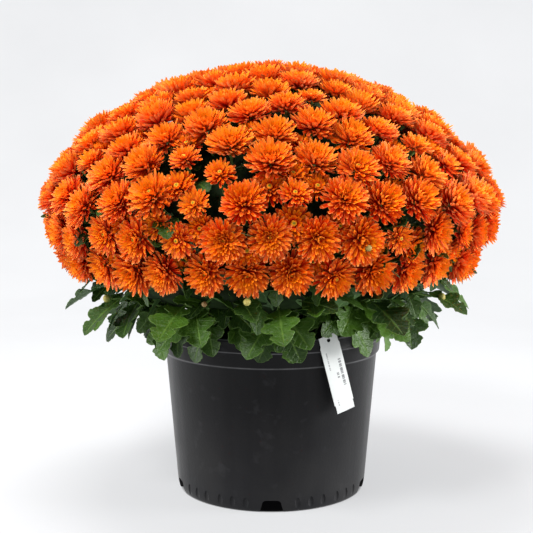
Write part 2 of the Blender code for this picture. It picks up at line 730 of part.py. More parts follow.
def make_tag(group, finish):
    """The hang tag: a flat plate with a round hole, and a narrow hook over the pot's lip."""
    half = TAG_WIDTH / 2
    edge = (
        (half - TAG_SHOULDER, 0.0),
        (half - TAG_SHOULDER, -TAG_SHOULDER_TOP),
        (half, -TAG_SHOULDER_FOOT),
        (half, TAG_LOWER_TAPER - TAG_LENGTH),
        (half - TAG_SHOULDER, -TAG_LENGTH),
    )
    outline = [(-x, y) for x, y in edge] + list(reversed(edge))
    steps = [k * math.tau / TAG_HOLE_SIDES for k in range(TAG_HOLE_SIDES)]
    hole = [(TAG_HOLE_RADIUS * math.cos(a), -TAG_HOLE_DROP + TAG_HOLE_RADIUS * math.sin(a)) for a in steps]
    curve = bpy.data.curves.new("tag_plate", "CURVE")
    curve.dimensions = "2D"
    curve.fill_mode = "BOTH"
    curve.extrude = TAG_THICKNESS / 2
    for loop in (outline, hole):
        spline = curve.splines.new("POLY")
        spline.points.add(len(loop) - 1)
        spline.use_cyclic_u = True
        for knot, (x, y) in zip(spline.points, loop, strict=True):
            knot.co = (x, y, 0.0, 1.0)
    flat = place("tag_plate", curve, group)
    mesh = baked(flat)
    bpy.data.objects.remove(flat, do_unlink=True)
    bm = bmesh.new()
    bm.from_mesh(mesh)
    bmesh.ops.remove_doubles(bm, verts=bm.verts, dist=0.00001)
    bmesh.ops.triangulate(bm, faces=bm.faces)
    for corner in bm.verts:
        out = TOUCH_GAP + TAG_THICKNESS / 2 + corner.co.z
        corner.co = tag_place(corner.co.x, out, corner.co.y)
    face_outwards(bm)
    plate = mesh_of(bm, "tag_plate")

    front = TOUCH_GAP + (TAG_THICKNESS - HOOK_THICKNESS) / 2
    leg_foot = POT_HEIGHT - HOOK_DEPTH
    wall = inner_pot_radius(leg_foot) * math.cos(math.pi / POT_SIDES)
    inside = wall - TOUCH_GAP - LIP_RADIUS
    under = TAG_TOP + HOOK_RISE
    top = under + HOOK_THICKNESS
    section = (
        (front + HOOK_THICKNESS, TAG_TOP - HOOK_SINK),
        (front + HOOK_THICKNESS, top),
        (inside - HOOK_THICKNESS, top),
        (inside - HOOK_THICKNESS, leg_foot),
        (inside, leg_foot),
        (inside, under),
        (front, under),
        (front, TAG_TOP - HOOK_SINK),
    )
    bm = bmesh.new()
    spin = Matrix.Rotation(TAG_TURN, 3, "Z")
    ring = [bm.verts.new(spin @ Vector((-HOOK_WIDTH / 2, -LIP_RADIUS - out, z))) for out, z in section]
    side = bm.faces.new(ring)
    grown = bmesh.ops.extrude_face_region(bm, geom=[side])["geom"]
    moved = [item for item in grown if isinstance(item, bmesh.types.BMVert)]
    bmesh.ops.translate(bm, verts=moved, vec=spin @ Vector((HOOK_WIDTH, 0, 0)))
    bmesh.ops.triangulate(bm, faces=bm.faces)
    face_outwards(bm)
    fuse("tag", [plate, mesh_of(bm, "tag_hook")], group, finish)


def main():
    """Build the whole part."""
    clear_scene()
    group = new_collection(OBJECT_NAME)
    notches = new_collection("notch_cutters")
    holes = new_collection("stem_hole_cutters")
    plastic = material("pot_plastic", (0.028, 0.028, 0.031), 0.42)
    earth = material("potting_soil", (0.07, 0.045, 0.03), 0.95)
    leaf_green = material("leaf_green", (0.06, 0.15, 0.03), 0.55)
    petal_orange = material("petal_orange", (0.85, 0.22, 0.02), 0.6)
    tag_white = material("tag_white", (0.86, 0.87, 0.84), 0.45)

    rng = random.Random(41)
    make_pot(group, notches, plastic)
    blooms = spread_blooms(rng)
    make_sprays(blooms, group, petal_orange)
    make_crown(blooms, group, holes, leaf_green)
    for number in range(SHOOT_COUNT):
        make_shoot(number, rng, group, holes, leaf_green)
    make_soil(group, holes, earth)
    make_tag(group, tag_white)


main()
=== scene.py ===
# %% [markdown]
# # A garden chrysanthemum in its nursery pot
# The real thing is a cushion of double orange blooms on leafy shoots, grown in a black moulded pot with a
# hang tag. A coarse model of every piece comes from the frame, and this lesson makes the fine piece that
# takes each one's place. The work goes from the camera and light to the blooms, leaves, stems, pot and tag.

# %% Load the frame and put each part's place into its mesh
import math
import random

import bmesh
import bpy
import numpy as np
from mathutils import Matrix, Vector


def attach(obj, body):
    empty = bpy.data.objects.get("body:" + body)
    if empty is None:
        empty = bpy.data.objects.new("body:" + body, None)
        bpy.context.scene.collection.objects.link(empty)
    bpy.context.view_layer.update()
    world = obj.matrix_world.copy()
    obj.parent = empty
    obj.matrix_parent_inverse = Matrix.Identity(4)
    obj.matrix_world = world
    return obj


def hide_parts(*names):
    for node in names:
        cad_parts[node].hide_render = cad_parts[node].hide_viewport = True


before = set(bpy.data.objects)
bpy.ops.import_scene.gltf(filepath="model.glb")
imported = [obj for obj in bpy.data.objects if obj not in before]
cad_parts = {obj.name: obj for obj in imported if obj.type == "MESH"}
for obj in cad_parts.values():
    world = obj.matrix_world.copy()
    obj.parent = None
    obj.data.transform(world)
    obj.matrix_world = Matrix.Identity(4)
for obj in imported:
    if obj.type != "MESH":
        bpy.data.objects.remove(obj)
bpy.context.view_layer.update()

# %% [markdown]
# ## Camera and studio
# The photograph looks slightly down at the plant from about one metre twenty, with a long lens. The floor and
# the wall are one pale sheet with a soft bend, as photographers use, so that no line shows behind the pot.
# The sheet glows, as painted light that keeps shadows on it faint, and glows more towards the wall than at
# the front. Under the pot it is painted near black with no glow, a painted shadow. One soft lamp hangs right
# above the plant and one stands high on the left. Two weak ones at the sides give the pot its pale edges.

# %% Camera
view = bpy.data.cameras.new("camera")
view.angle = math.radians(28.62)
camera = bpy.data.objects.new("camera", view)
camera.location = (-0.0056, -1.2045, 0.3874)
camera.rotation_euler = (math.radians(90 - 6.22), 0, 0)
bpy.context.scene.collection.objects.link(camera)
bpy.context.scene.camera = camera
bpy.context.scene.view_settings.view_transform = "Standard"
print("camera lens", round(view.lens, 1), "mm")


# %% Helpers for working by hand: pick, edit and select
def leave_edit():
    """Go back to object mode with nothing selected."""
    if bpy.context.mode != "OBJECT":
        bpy.ops.object.mode_set(mode="OBJECT")
    bpy.ops.object.select_all(action="DESELECT")


def take(*pieces):
    """Select these pieces alone; the first is the active one."""
    leave_edit()
    for piece in pieces:
        piece.select_set(True)
    bpy.context.view_layer.objects.active = pieces[0]


def edit(piece, kind="VERT"):
    """Open one piece in edit mode with nothing selected."""
    take(piece)
    bpy.ops.object.mode_set(mode="EDIT")
    bpy.ops.mesh.select_mode(type=kind)
    bpy.ops.mesh.select_all(action="DESELECT")


def select(kind, wanted):
    """Select the vertices, edges or faces of the edited piece whose middle passes a test."""
    mesh = bpy.context.active_object.data
    bm = bmesh.from_edit_mesh(mesh)
    for item in {"VERT": bm.verts, "EDGE": bm.edges, "FACE": bm.faces}[kind]:
        middle = item.co if kind == "VERT" else sum((v.co for v in item.verts), Vector()) / len(item.verts)
        item.select_set(bool(wanted(middle)))
    bm.select_flush_mode()
    bmesh.update_edit_mesh(mesh)


def added(name):
    """Name the primitive that was just added and put its place into its mesh."""
    piece = bpy.context.active_object
    piece.name = piece.data.name = name
    take(piece)
    bpy.ops.object.transform_apply(location=True, rotation=True, scale=True)
    return piece


def apply(piece, kind, **settings):
    """Add a modifier with its settings and apply it."""
    take(piece)
    modifier = piece.modifiers.new(kind.lower(), kind)
    for name, value in settings.items():
        setattr(modifier, name, value)
    bpy.ops.object.modifier_apply(modifier=modifier.name)


def smooth(piece, degrees):
    """Shade a piece smooth with sharp edges past an angle."""
    take(piece)
    bpy.ops.object.shade_smooth_by_angle(angle=math.radians(degrees))


def close_up(merge=None):
    """Merge doubled points if asked, turn all normals outward and leave edit mode."""
    bpy.ops.mesh.select_all(action="SELECT")
    if merge:
        bpy.ops.mesh.remove_doubles(threshold=merge)
    bpy.ops.mesh.normals_make_consistent(inside=False)
    leave_edit()


def joined(pieces, name):
    """Join pieces into one."""
    take(*pieces)
    if len(pieces) > 1:
        bpy.ops.object.join()
    piece = bpy.context.active_object
    piece.name = piece.data.name = name
    return piece


def stand_for(piece, slot, *nodes):
    """Let a finished piece ride on the plant and replace its coarse nodes; the slot is not used."""
    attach(piece, "root")
    if nodes:
        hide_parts(*nodes)


def coordinates(mesh):
    """The mesh's vertices as an array."""
    flat = np.empty(len(mesh.vertices) * 3, dtype=np.float64)
    mesh.vertices.foreach_get("co", flat)
    return flat.reshape(-1, 3)


def put(mesh, spots):
    """Write an array back to the mesh's vertices."""
    mesh.vertices.foreach_set("co", np.ascontiguousarray(spots, dtype=np.float64).ravel())
    mesh.update()


def paint(mesh, name, columns):
    """Store up to four numbers for each vertex, which materials read by name."""
    layer = mesh.attributes.get(name) or mesh.attributes.new(name, "FLOAT_COLOR", "POINT")
    values = np.ones((len(mesh.vertices), 4), dtype=np.float32)
    for k, column in enumerate(columns):
        values[:, k] = column
    layer.data.foreach_set("color", values.ravel())


def repaint(mesh, name, channel, value):
    """Change one of the stored numbers on every vertex."""
    layer = mesh.attributes[name].data
    values = np.empty(len(mesh.vertices) * 4, dtype=np.float32)
    layer.foreach_get("color", values)
    values[channel::4] = value
    layer.foreach_set("color", values)


def through(spots, matrix):
    """Points turned by a matrix."""
    return spots @ np.array(matrix.transposed())


def twin(piece, name):
    """A copy of a piece with a mesh of its own."""
    copy = bpy.data.objects.new(name, piece.data.copy())
    bpy.context.scene.collection.objects.link(copy)
    return copy


def discard(piece):
    """Remove a pattern piece once its copies are made."""
    bpy.data.objects.remove(piece, do_unlink=True)


print("helpers ready")


# %% Helpers for materials
class Drawing:
    """The node tree that add() draws in."""
    tree = None


def feed(socket, value):
    """Link a socket to another, or set its plain value."""
    if isinstance(value, bpy.types.NodeSocket):
        socket.id_data.links.new(value, socket)
    elif isinstance(value, tuple) and socket.type == "RGBA":
        socket.default_value = (*value, 1.0)
    else:
        socket.default_value = value


def add(kind, inputs=(), output=0, **settings):
    """Add a node, feed its inputs by number or name, and give back one of its outputs."""
    node = Drawing.tree.nodes.new("ShaderNode" + kind)
    for name, value in settings.items():
        setattr(node, name, value)
    for key, value in dict(inputs).items():
        feed(node.inputs[key], value)
    return node.outputs[output]


def maths(operation, a, b=0.0):
    return add("Math", {0: a, 1: b}, operation=operation)


def times(a, b):
    return maths("MULTIPLY", a, b)


def away(value, middle):
    """How far a value is from a middle, either way."""
    return maths("ABSOLUTE", maths("SUBTRACT", value, middle))


def blend(share, a, b):
    """Mix two colours."""
    return add("Mix", {0: share, 6: a, 7: b}, 2, data_type="RGBA")


def ramp(value, *stops):
    """A colour ramp with stops of place and colour."""
    colour = add("ValToRGB", {0: value})
    line = colour.node.color_ramp
    line.elements[0].position, line.elements[1].position = stops[0][0], stops[-1][0]
    line.elements[0].color, line.elements[1].color = (*stops[0][1], 1), (*stops[-1][1], 1)
    for place, stop in stops[1:-1]:
        line.elements.new(place).color = (*stop, 1)
    return colour


def spread(value, low, high, to_low=0.0, to_high=1.0):
    """Map a range of a value to another, clamped."""
    return add("MapRange", {0: value, 1: low, 2: high, 3: to_low, 4: to_high})


def stored(name):
    """The four numbers that the vertices carry under a name."""
    source = add("Attribute", attribute_name=name)
    return (*add("SeparateColor", {0: source}).node.outputs, source.node.outputs["Alpha"])


def finish_named(name, roughness, specular):
    """A new material and its shader's inputs. Its tree is the one to draw in from here."""
    made = bpy.data.materials.new(name)
    made.use_nodes = True
    Drawing.tree = made.node_tree
    shader = Drawing.tree.nodes["Principled BSDF"].inputs
    shader["Roughness"].default_value = roughness
    shader["Specular IOR Level"].default_value = specular
    return made, shader


def bump(height, strength, distance):
    """A bump normal from a height."""
    return add("Bump", {"Strength": strength, "Distance": distance, "Height": height})


def make_blotches_group():
    """Blotches at a chosen size on Object coordinates, shared by most finishes."""
    group = Drawing.tree = bpy.data.node_groups.new("blotches", "ShaderNodeTree")
    for name, start in (("Scale", 40.0), ("Detail", 4.0), ("Low", 0.35), ("High", 0.65)):
        group.interface.new_socket(name, in_out="INPUT", socket_type="NodeSocketFloat").default_value = start
    group.interface.new_socket("Mask", in_out="OUTPUT", socket_type="NodeSocketFloat")
    given = group.nodes.new("NodeGroupInput").outputs
    place = add("TexCoord", output="Object")
    noise = add("TexNoise", {"Vector": place, "Scale": given["Scale"], "Detail": given["Detail"]})
    feed(group.nodes.new("NodeGroupOutput").inputs[0], spread(noise, given["Low"], given["High"]))
    return group


blotches_group = make_blotches_group()


def blotches(scale, detail=4.0, low=0.35, high=0.65):
    inputs = {"Scale": scale, "Detail": detail, "Low": low, "High": high}
    return add("Group", inputs, node_tree=blotches_group)


print("shared groups:", [group.name for group in bpy.data.node_groups])

# %% Floor and wall in one sheet
leave_edit()
bpy.ops.mesh.primitive_plane_add(size=8.0, location=(0, -1.0, -0.0005))
floor = added("floor")
edit(floor, "EDGE")
select("EDGE", lambda m: m.y > 2.9)
bpy.ops.mesh.extrude_region_move(TRANSFORM_OT_translate={"value": (0, 0, 5.0)})
select("EDGE", lambda m: m.y > 2.9 and abs(m.z) < 0.01)
bpy.ops.mesh.bevel(offset=1.6, segments=16)
smooth(floor, 60)
floor_finish, shader = finish_named("pale_sheet", 0.9, 0.1)
pale = blend(blotches(1.5), (0.215, 0.217, 0.221), (0.225, 0.227, 0.231))
place = add("TexCoord", output="Object")
# Under the pot the sheet is painted near black, a painted shadow, and its glow stops there too.
outside_painted_pot_shadow = spread(add("VectorMath", {0: place}, 1, operation="LENGTH"), 0.1035, 0.1075)
pale = blend(outside_painted_pot_shadow, (0.0008, 0.0008, 0.0009), pale)
feed(shader["Base Color"], pale)
# The sheet's glow is painted light, a little stronger towards the wall than at the front.
feed(shader["Emission Color"], pale)
feed(shader["Emission Strength"], spread(add("SeparateXYZ", {0: place}, 1), -0.7, 1.6, 2.2, 2.85))
floor.data.materials.append(floor_finish)
print("floor sheet", [round(side, 2) for side in floor.dimensions])

# %% Lamps
for name, place, aim_height, size, power in (
    ("top_lamp", (-0.3, 0.0, 2.3), 0.3, 0.8, 50),
    ("key_lamp", (-0.8, -1.5, 2.1), 0.3, 0.5, 46),
    ("left_lamp", (-1.5, -0.2, 0.3), 0.2, 0.6, 16),
    ("right_lamp", (1.5, -0.2, 0.3), 0.2, 0.6, 31),
):
    lamp = bpy.data.lights.new(name, "AREA")
    lamp.shape, lamp.size, lamp.energy = "SQUARE", size, power
    holder = bpy.data.objects.new(name, lamp)
    holder.location = place
    holder.rotation_euler = (Vector((0, 0, aim_height)) - Vector(place)).to_track_quat("-Z", "Y").to_euler()
    bpy.context.scene.collection.objects.link(holder)
sky = bpy.data.worlds.new("studio")
sky.use_nodes = True
air = sky.node_tree.nodes["Background"].inputs
air["Color"].default_value, air["Strength"].default_value = (0.98, 0.99, 1.0, 1.0), 0.5
bpy.context.scene.world = sky

# %% [markdown]
# ## Where the blooms sit
# A grower pinches the shoots so that every bloom ends on one smooth cushion. The cushion is a dome whose
# outline is two rounded arcs. Points start on a golden-angle spiral, as seeds do in a sunflower, and then
# push each other apart until they are evenly spread. One seeded draw gives each bloom its drift, tilt and
# size.

# %% The cushion's outline
BLOOM_COUNT, SPRAY_COUNT, LATE_COUNT = 246, 38, 120
DOME_CENTRE_X, DOME_RADIUS, DOME_WAIST, DOME_LOWEST = -0.0018, 0.2495, 0.325, 0.271
DOME_RISE, DOME_POWER, SKIRT_DEPTH, SKIRT_POWER = 0.1545, 1.78, 0.215, 1.5
SPREAD_ROUNDS, ROOM_SHARE, PUSH_SHARE = 40, 1.25, 0.18


def cushion_outline():
    """Radii, heights and the area above each point of the outline, from the top down."""
    angles = np.linspace(0.0, math.pi / 2, 400)
    power = 2.0 / DOME_POWER
    drop = np.linspace(0.0, DOME_WAIST - DOME_LOWEST, 100)[1:]
    lower = DOME_RADIUS * (1 - (drop / SKIRT_DEPTH) ** SKIRT_POWER) ** (1 / SKIRT_POWER)
    radii = np.concatenate((DOME_RADIUS * np.sin(angles) ** power, lower))
    heights = np.concatenate((DOME_WAIST + DOME_RISE * np.cos(angles) ** power, DOME_WAIST - drop))
    rings = math.pi * (radii[1:] + radii[:-1]) * np.hypot(np.diff(radii), np.diff(heights))
    return radii, heights, np.concatenate(([0.0], np.cumsum(rings)))


def cushion_spots(count):
    """Evenly spread points of the cushion with their outward directions."""
    radii, heights, areas = cushion_outline()
    numbers = np.arange(count)
    rows = np.searchsorted(areas, (numbers + 0.5) / count * areas[-1])
    turns = numbers * math.pi * (3 - math.sqrt(5))
    room = math.sqrt(areas[-1] / count) * ROOM_SHARE
    for _ in range(SPREAD_ROUNDS):
        spots = np.column_stack((radii[rows] * np.cos(turns), radii[rows] * np.sin(turns), heights[rows]))
        apart = spots[:, None] - spots[None]
        distance = np.linalg.norm(apart, axis=2) + np.eye(count)
        push = np.clip(room - distance, 0, None) * (1 - np.eye(count))
        spots += (apart / distance[:, :, None] * push[:, :, None]).sum(axis=1) * PUSH_SHARE
        turns = np.arctan2(spots[:, 1], spots[:, 0])
        reach = np.hypot(spots[:, 0], spots[:, 1])
        rows = np.hypot(reach[:, None] - radii[None], spots[:, 2:3] - heights[None]).argmin(axis=1)
    placed = []
    for row, turn in zip(rows, turns):
        row = max(int(row), 1)
        along = Vector((radii[row] - radii[row - 1], 0.0, heights[row] - heights[row - 1])).normalized()
        spin = Matrix.Rotation(turn, 3, "Z")
        point = spin @ Vector((radii[row], 0.0, heights[row]))
        point.x += DOME_CENTRE_X
        placed.append((point, spin @ Vector((-along.z, 0.0, along.x))))
    return placed


print("cushion", round(2 * DOME_RADIUS, 3), "m across the hearts of its blooms")

# %% Drift, tilt and size of each bloom
MOST_DRIFT, MOST_SINK, MOST_TILT, LEAN_UP = 0.0045, 0.003, 0.16, 0.22
SMALL_SHARE, SMALL_RADII, LARGE_RADII = 0.12, (0.0155, 0.0185), (0.0225, 0.0265)
draw = random.Random(41)
blooms = []
for point, normal in cushion_spots(BLOOM_COUNT):
    side = normal.orthogonal().normalized()
    drift = Matrix.Rotation(draw.uniform(0, math.tau), 3, normal) @ side
    hub = point + drift * draw.uniform(0, MOST_DRIFT)
    hub += normal * draw.uniform(-MOST_SINK, MOST_SINK)
    tilt = Matrix.Rotation(draw.uniform(0, math.tau), 3, normal) @ side
    facing = (normal + tilt * draw.uniform(0, MOST_TILT) + Vector((0, 0, LEAN_UP))).normalized()
    small = draw.random() < SMALL_SHARE
    radius = draw.uniform(*(SMALL_RADII if small else LARGE_RADII))
    blooms.append({"hub": hub, "facing": facing, "radius": radius, "small": small})
centres = [point for point, _ in cushion_spots(SPRAY_COUNT)]
for bloom in blooms:
    bloom["spray"] = min(range(SPRAY_COUNT), key=lambda k: (centres[k] - bloom["hub"]).length)
print(len(blooms), "blooms,", sum(bloom["small"] for bloom in blooms), "of them small")

# %% [markdown]
# Late blooms open lower down, between three earlier ones, and show only part of their faces. Joining all the
# hearts with triangles finds those places: the middle of each wide triangle takes one, a little sunk.

# %% Late blooms in the gaps
WIDEST_GAP, LOWEST_GAP, LATE_APART, LATE_RADII = 0.07, 0.272, 0.027, (0.016, 0.0215)
web = bmesh.new()
heart = Vector((DOME_CENTRE_X, 0, DOME_WAIST))
owners = {web.verts.new((bloom["hub"] - heart).normalized()): bloom for bloom in blooms}
bmesh.ops.convex_hull(web, input=web.verts)
gaps = []
for face in web.faces:
    around = [owners[corner] for corner in face.verts]
    middle = sum((bloom["hub"] for bloom in around), Vector()) / 3
    outward = sum((bloom["facing"] for bloom in around), Vector()).normalized()
    room = min((bloom["hub"] - middle).length - 0.3 * bloom["radius"] for bloom in around)
    longest = max((a["hub"] - b["hub"]).length for a in around for b in around)
    if longest < WIDEST_GAP and middle.z > LOWEST_GAP:
        gaps.append((room, middle, outward, around[0]["spray"]))
web.free()
gap_chance = random.Random(9)
late_blooms = []
for room, middle, outward, spray in sorted(gaps, key=lambda gap: -gap[0]):
    alone = all((middle - late["hub"]).length >= LATE_APART for late in late_blooms)
    if alone and len(late_blooms) < LATE_COUNT:
        hub = middle - outward * gap_chance.uniform(0.002, 0.009)
        radius = gap_chance.uniform(*LATE_RADII)
        late_blooms.append({"hub": hub, "facing": outward, "radius": radius, "small": True, "spray": spray})
print(len(late_blooms), "late blooms")

# %% [markdown]
# ## One petal
# A petal is a narrow strap with a channel down its face and a rounded tip. It starts as a flat grid, whose
# rows are widened by hand. A second layer under it, joined at the rim, closes it to a thin lens, so it has a
# back of its own with its own colour. Few faces are used, because the plant has about forty thousand petals.
# The outer ring of a bloom takes the finer petal and the rings inside it take the plainer one.

# %% Model the petals
def in_channel(m):
    return abs(m.x) < 0.01 and 0.1 < m.y < 0.9


def drawn_petal(name, rows):
    """A strap petal: a grid with widened rows, a sunk channel, a rounded tip and a back."""
    leave_edit()
    last = len(rows) - 1
    bpy.ops.mesh.primitive_grid_add(x_subdivisions=2, y_subdivisions=last, size=1.0, location=(0, 0.5, 0))
    piece = added(name)
    edit(piece)
    for row, (width, place) in enumerate(rows):
        select("VERT", lambda m: abs(m.y - row / last) < 0.01)
        bpy.ops.transform.resize(value=(width, 1, 1), center_override=(0, row / last, 0))
        bpy.ops.transform.translate(value=(0, place - row / last + 2, 0))
    bpy.ops.mesh.select_all(action="SELECT")
    bpy.ops.transform.translate(value=(0, -2, 0))
    select("VERT", lambda m: abs(m.x) < 0.01 and m.y > 0.9)
    bpy.ops.transform.translate(value=(0, 0.04, 0))
    select("VERT", in_channel)
    bpy.ops.transform.translate(value=(0, 0, -0.42))
    bpy.ops.mesh.select_all(action="SELECT")
    bpy.ops.mesh.duplicate()
    bpy.ops.mesh.flip_normals()
    bm = bmesh.from_edit_mesh(piece.data)
    for corner in bm.verts:
        corner.select_set(corner.select and in_channel(corner.co))
    bmesh.update_edit_mesh(piece.data)
    bpy.ops.transform.translate(value=(0, 0, -0.12))
    bpy.ops.mesh.select_all(action="SELECT")
    bpy.ops.mesh.remove_doubles(threshold=0.0001)
    leave_edit()
    for face in piece.data.polygons:
        face.material_index = 0 if face.normal.z > 0 else 1
    smooth(piece, 75)
    print(name, len(piece.data.polygons), "faces")
    return piece


petal = drawn_petal("petal", ((0.36, 0.0), (0.8, 0.45), (1.0, 0.83), (0.62, 0.96)))
short_petal = drawn_petal("short_petal", ((0.45, 0.0), (1.0, 0.8), (0.64, 0.96)))

# %% [markdown]
# ## Petal colours
# Each petal is deep red-orange at its root, partly its own colour and partly painted shade, orange on its
# face and paler at its tip. A paler rim along its sides is partly its margin and partly a painted highlight,
# and its back is a dusty peach. Blooms higher up are warmer and lighter: half of each bloom's tone is random
# and half is painted light from above. Two sets of numbers are stored on the vertices: where the vertex lies
# on its petal, and which bloom and layer the petal belongs to. The material turns them into colour, so no
# image is needed.


# %% Petal finishes
HEART_ORANGE = (0.97, 0.29, 0.002)


def petal_finish(name, stops, warm, cool, warm_share):
    """Root to tip colour, darker at the root partly as painted shade, with a pale rim partly as a painted
    highlight, warmer blooms partly as painted top light, cooler petals, dark stripes and orange hearts.
    """
    made, shader = finish_named(name, 0.46, 0.13)
    along, across, tone, _ = stored("petal")
    bloom_tone_and_painted_top_light, layer, _, _ = stored("bloom")
    # The root end is darker: partly the petal's colour, partly painted shade deep in the bloom.
    colour = ramp(along, *stops)
    # A paler rim along the sides: partly the petal's margin, partly a painted highlight.
    colour = blend(spread(away(across, 0.5), 0.28, 0.5, 0.0, 0.42), colour, stops[-1][1])
    # Warmer, lighter blooms: half a random tone, half painted light on the higher blooms.
    colour = blend(spread(bloom_tone_and_painted_top_light, 0.45, 1.0, 0.0, warm_share), colour, warm)
    colour = blend(spread(tone, 0.55, 1.0, 0.0, 0.3), colour, cool)
    stripe_place = add("CombineXYZ", {0: times(across, 9.0), 1: along, 2: tone})
    stripes = add("TexNoise", {"Vector": stripe_place, "Scale": 2.2, "Detail": 2.0})
    colour = blend(spread(stripes, 0.35, 0.7, 0.0, 0.3), colour, stops[0][1])
    inner = times(spread(layer, 0.0, 0.75, 0.0, 0.85), spread(along, 0.35, 0.85))
    feed(shader["Base Color"], blend(inner, colour, HEART_ORANGE))
    feed(shader["Normal"], bump(stripes, 0.45, 0.0005))
    return made


# Root to tip, for the face here and the back below; the darker root stops are partly painted shade.
FACE_STOPS = (
    (0.0, (0.5, 0.002, 0.0002)), (0.5, (0.8, 0.008, 0.0003)), (0.74, (0.96, 0.04, 0.0004)),
    (0.92, (0.97, 0.125, 0.0015)), (1.0, (0.93, 0.47, 0.14)),
)
BACK_STOPS = ((0.0, (0.5, 0.005, 0.001)), (0.6, (0.93, 0.055, 0.004)), (1.0, (0.95, 0.43, 0.18)))
EYE_STOPS = (
    (0.0, (0.1, 0.1, 0.01)), (0.35, (0.3, 0.26, 0.02)), (0.55, (0.8, 0.36, 0.008)), (1.0, (0.8, 0.2, 0.004)),
)
petal_face = petal_finish("petal_face", FACE_STOPS, (0.98, 0.32, 0.006), (0.95, 0.44, 0.12), 0.7)
petal_back = petal_finish("petal_back", BACK_STOPS, (0.93, 0.36, 0.05), (0.93, 0.52, 0.3), 0.45)
eye_finish, shader = finish_named("bloom_eye", 0.7, 0.2)
feed(shader["Base Color"], ramp(stored("petal")[0], *EYE_STOPS))
florets = add("TexVoronoi", {"Vector": add("TexCoord", output="Object"), "Scale": 900.0})
feed(shader["Normal"], bump(florets, 0.8, 0.0006))
for pattern in (petal, short_petal):
    for finish in (petal_face, petal_back):
        pattern.data.materials.append(finish)
print("petal finishes:", petal_face.name, petal_back.name, eye_finish.name)

# %% [markdown]
# ## Kinds of bloom
# A double bloom is four to seven rings of petals round a small sunken eye. The outer ring lies flat and bends
# back, and each ring inside it is shorter and stands more upright. Each kind of bloom is built once from
# copies of the petal that are bent along an arc, with small seeded differences in length, lift and turn.


# %% Bend a copy of the petal
def bent_petal(pattern, chance, start, height, length, width, lift, curl, turn, layer):
    """A petal in its bloom: it leaves the axis at an angle and bends along its length."""
    copy = twin(pattern, "petal_copy")
    flat = coordinates(pattern.data)
    length *= chance.uniform(0.87, 1.07)
    lift = math.radians(lift + chance.uniform(-8, 8))
    curl = math.radians(curl + chance.uniform(-11, 11) - 0.01)
    twist = chance.uniform(-0.5, 0.5)
    across, along, up = flat.T
    angle = lift + curl * along
    out = start + length * (np.sin(angle) - math.sin(lift)) / curl
    rise = height - length * (np.cos(angle) - math.cos(lift)) / curl
    rise += length * 0.8 * np.clip(along - 0.6, 0, 1) ** 2
    side = across * width * (1 + 0.15 * chance.uniform(-1, 1))
    up = up * width + side * twist
    out -= np.sin(angle) * up
    rise += np.cos(angle) * up
    turned = Matrix.Rotation(turn + chance.uniform(-0.1, 0.1), 3, "Z")
    put(copy.data, through(np.column_stack((side, out, rise)), turned))
    paint(copy.data, "petal", (along, across + 0.5, chance.random()))
    paint(copy.data, "bloom", (0.5, layer, 0.5))
    return copy


def bloom_kind(name, seed, layers, eye_radius, eye_height):
    """Build one kind of bloom, one unit in radius, facing up."""
    chance = random.Random(seed)
    petals = []
    for number, (count, start, height, length, width, lift, curl) in enumerate(layers):
        for k in range(count):
            turn = (k + 0.5 * (number % 2)) * math.tau / count
            layer = number / (len(layers) - 1)
            pattern = petal if number == 0 else short_petal
            petals.append(bent_petal(pattern, chance, start, height, length, width, lift, curl, turn, layer))
    leave_edit()
    heart = (0, 0, eye_height)
    bpy.ops.mesh.primitive_uv_sphere_add(segments=8, ring_count=5, radius=eye_radius, location=heart)
    eye = added("eye")
    spots = coordinates(eye.data)
    reach = np.hypot(spots[:, 0], spots[:, 1]) / eye_radius
    dent = 0.35 * eye_radius * np.clip(1 - reach * 2, 0, 1)
    spots[:, 2] = eye_height + (spots[:, 2] - eye_height) * 0.55 - dent
    put(eye.data, spots)
    paint(eye.data, "petal", (np.clip(reach, 0, 1), 0.5, 0.5))
    paint(eye.data, "bloom", (0.5, 0.5, 0.5))
    eye.data.materials.append(eye_finish)
    smooth(eye, 80)
    kind = joined([*petals, eye], name)
    print(name, len(petals), "petals", len(kind.data.polygons), "faces")
    return kind


# %% Large and small kinds
# Each ring: its count, its root's distance and height, the petals' length and width, their lift and curl.
full_layers = (
    (27, 0.10, -0.34, 1.0, 0.148, 34, -50),
    (27, 0.09, -0.28, 0.95, 0.144, 42, -46),
    (25, 0.08, -0.22, 0.87, 0.138, 48, -38),
    (22, 0.07, -0.16, 0.75, 0.13, 54, -30),
    (18, 0.06, -0.1, 0.59, 0.12, 60, -22),
    (13, 0.05, -0.05, 0.45, 0.115, 68, -10),
    (8, 0.04, -0.02, 0.33, 0.11, 78, 2),
)
open_layers = (
    (26, 0.11, -0.3, 0.98, 0.15, 30, -44),
    (26, 0.11, -0.25, 0.92, 0.146, 38, -42),
    (24, 0.10, -0.19, 0.8, 0.138, 45, -36),
    (21, 0.09, -0.13, 0.63, 0.122, 52, -28),
    (17, 0.09, -0.07, 0.47, 0.118, 60, -16),
    (12, 0.08, -0.03, 0.32, 0.11, 70, -4),
)
deep_layers = (
    (27, 0.09, -0.36, 1.0, 0.148, 40, -56),
    (27, 0.08, -0.3, 0.97, 0.144, 48, -50),
    (25, 0.08, -0.24, 0.9, 0.136, 54, -38),
    (22, 0.07, -0.17, 0.78, 0.122, 60, -26),
    (18, 0.06, -0.11, 0.65, 0.118, 66, -12),
    (13, 0.05, -0.06, 0.5, 0.11, 74, 4),
)
small_layers = (
    (23, 0.12, -0.28, 0.97, 0.175, 28, -38),
    (22, 0.11, -0.22, 0.86, 0.168, 38, -36),
    (18, 0.10, -0.15, 0.66, 0.15, 48, -28),
    (13, 0.09, -0.08, 0.46, 0.14, 60, -12),
)
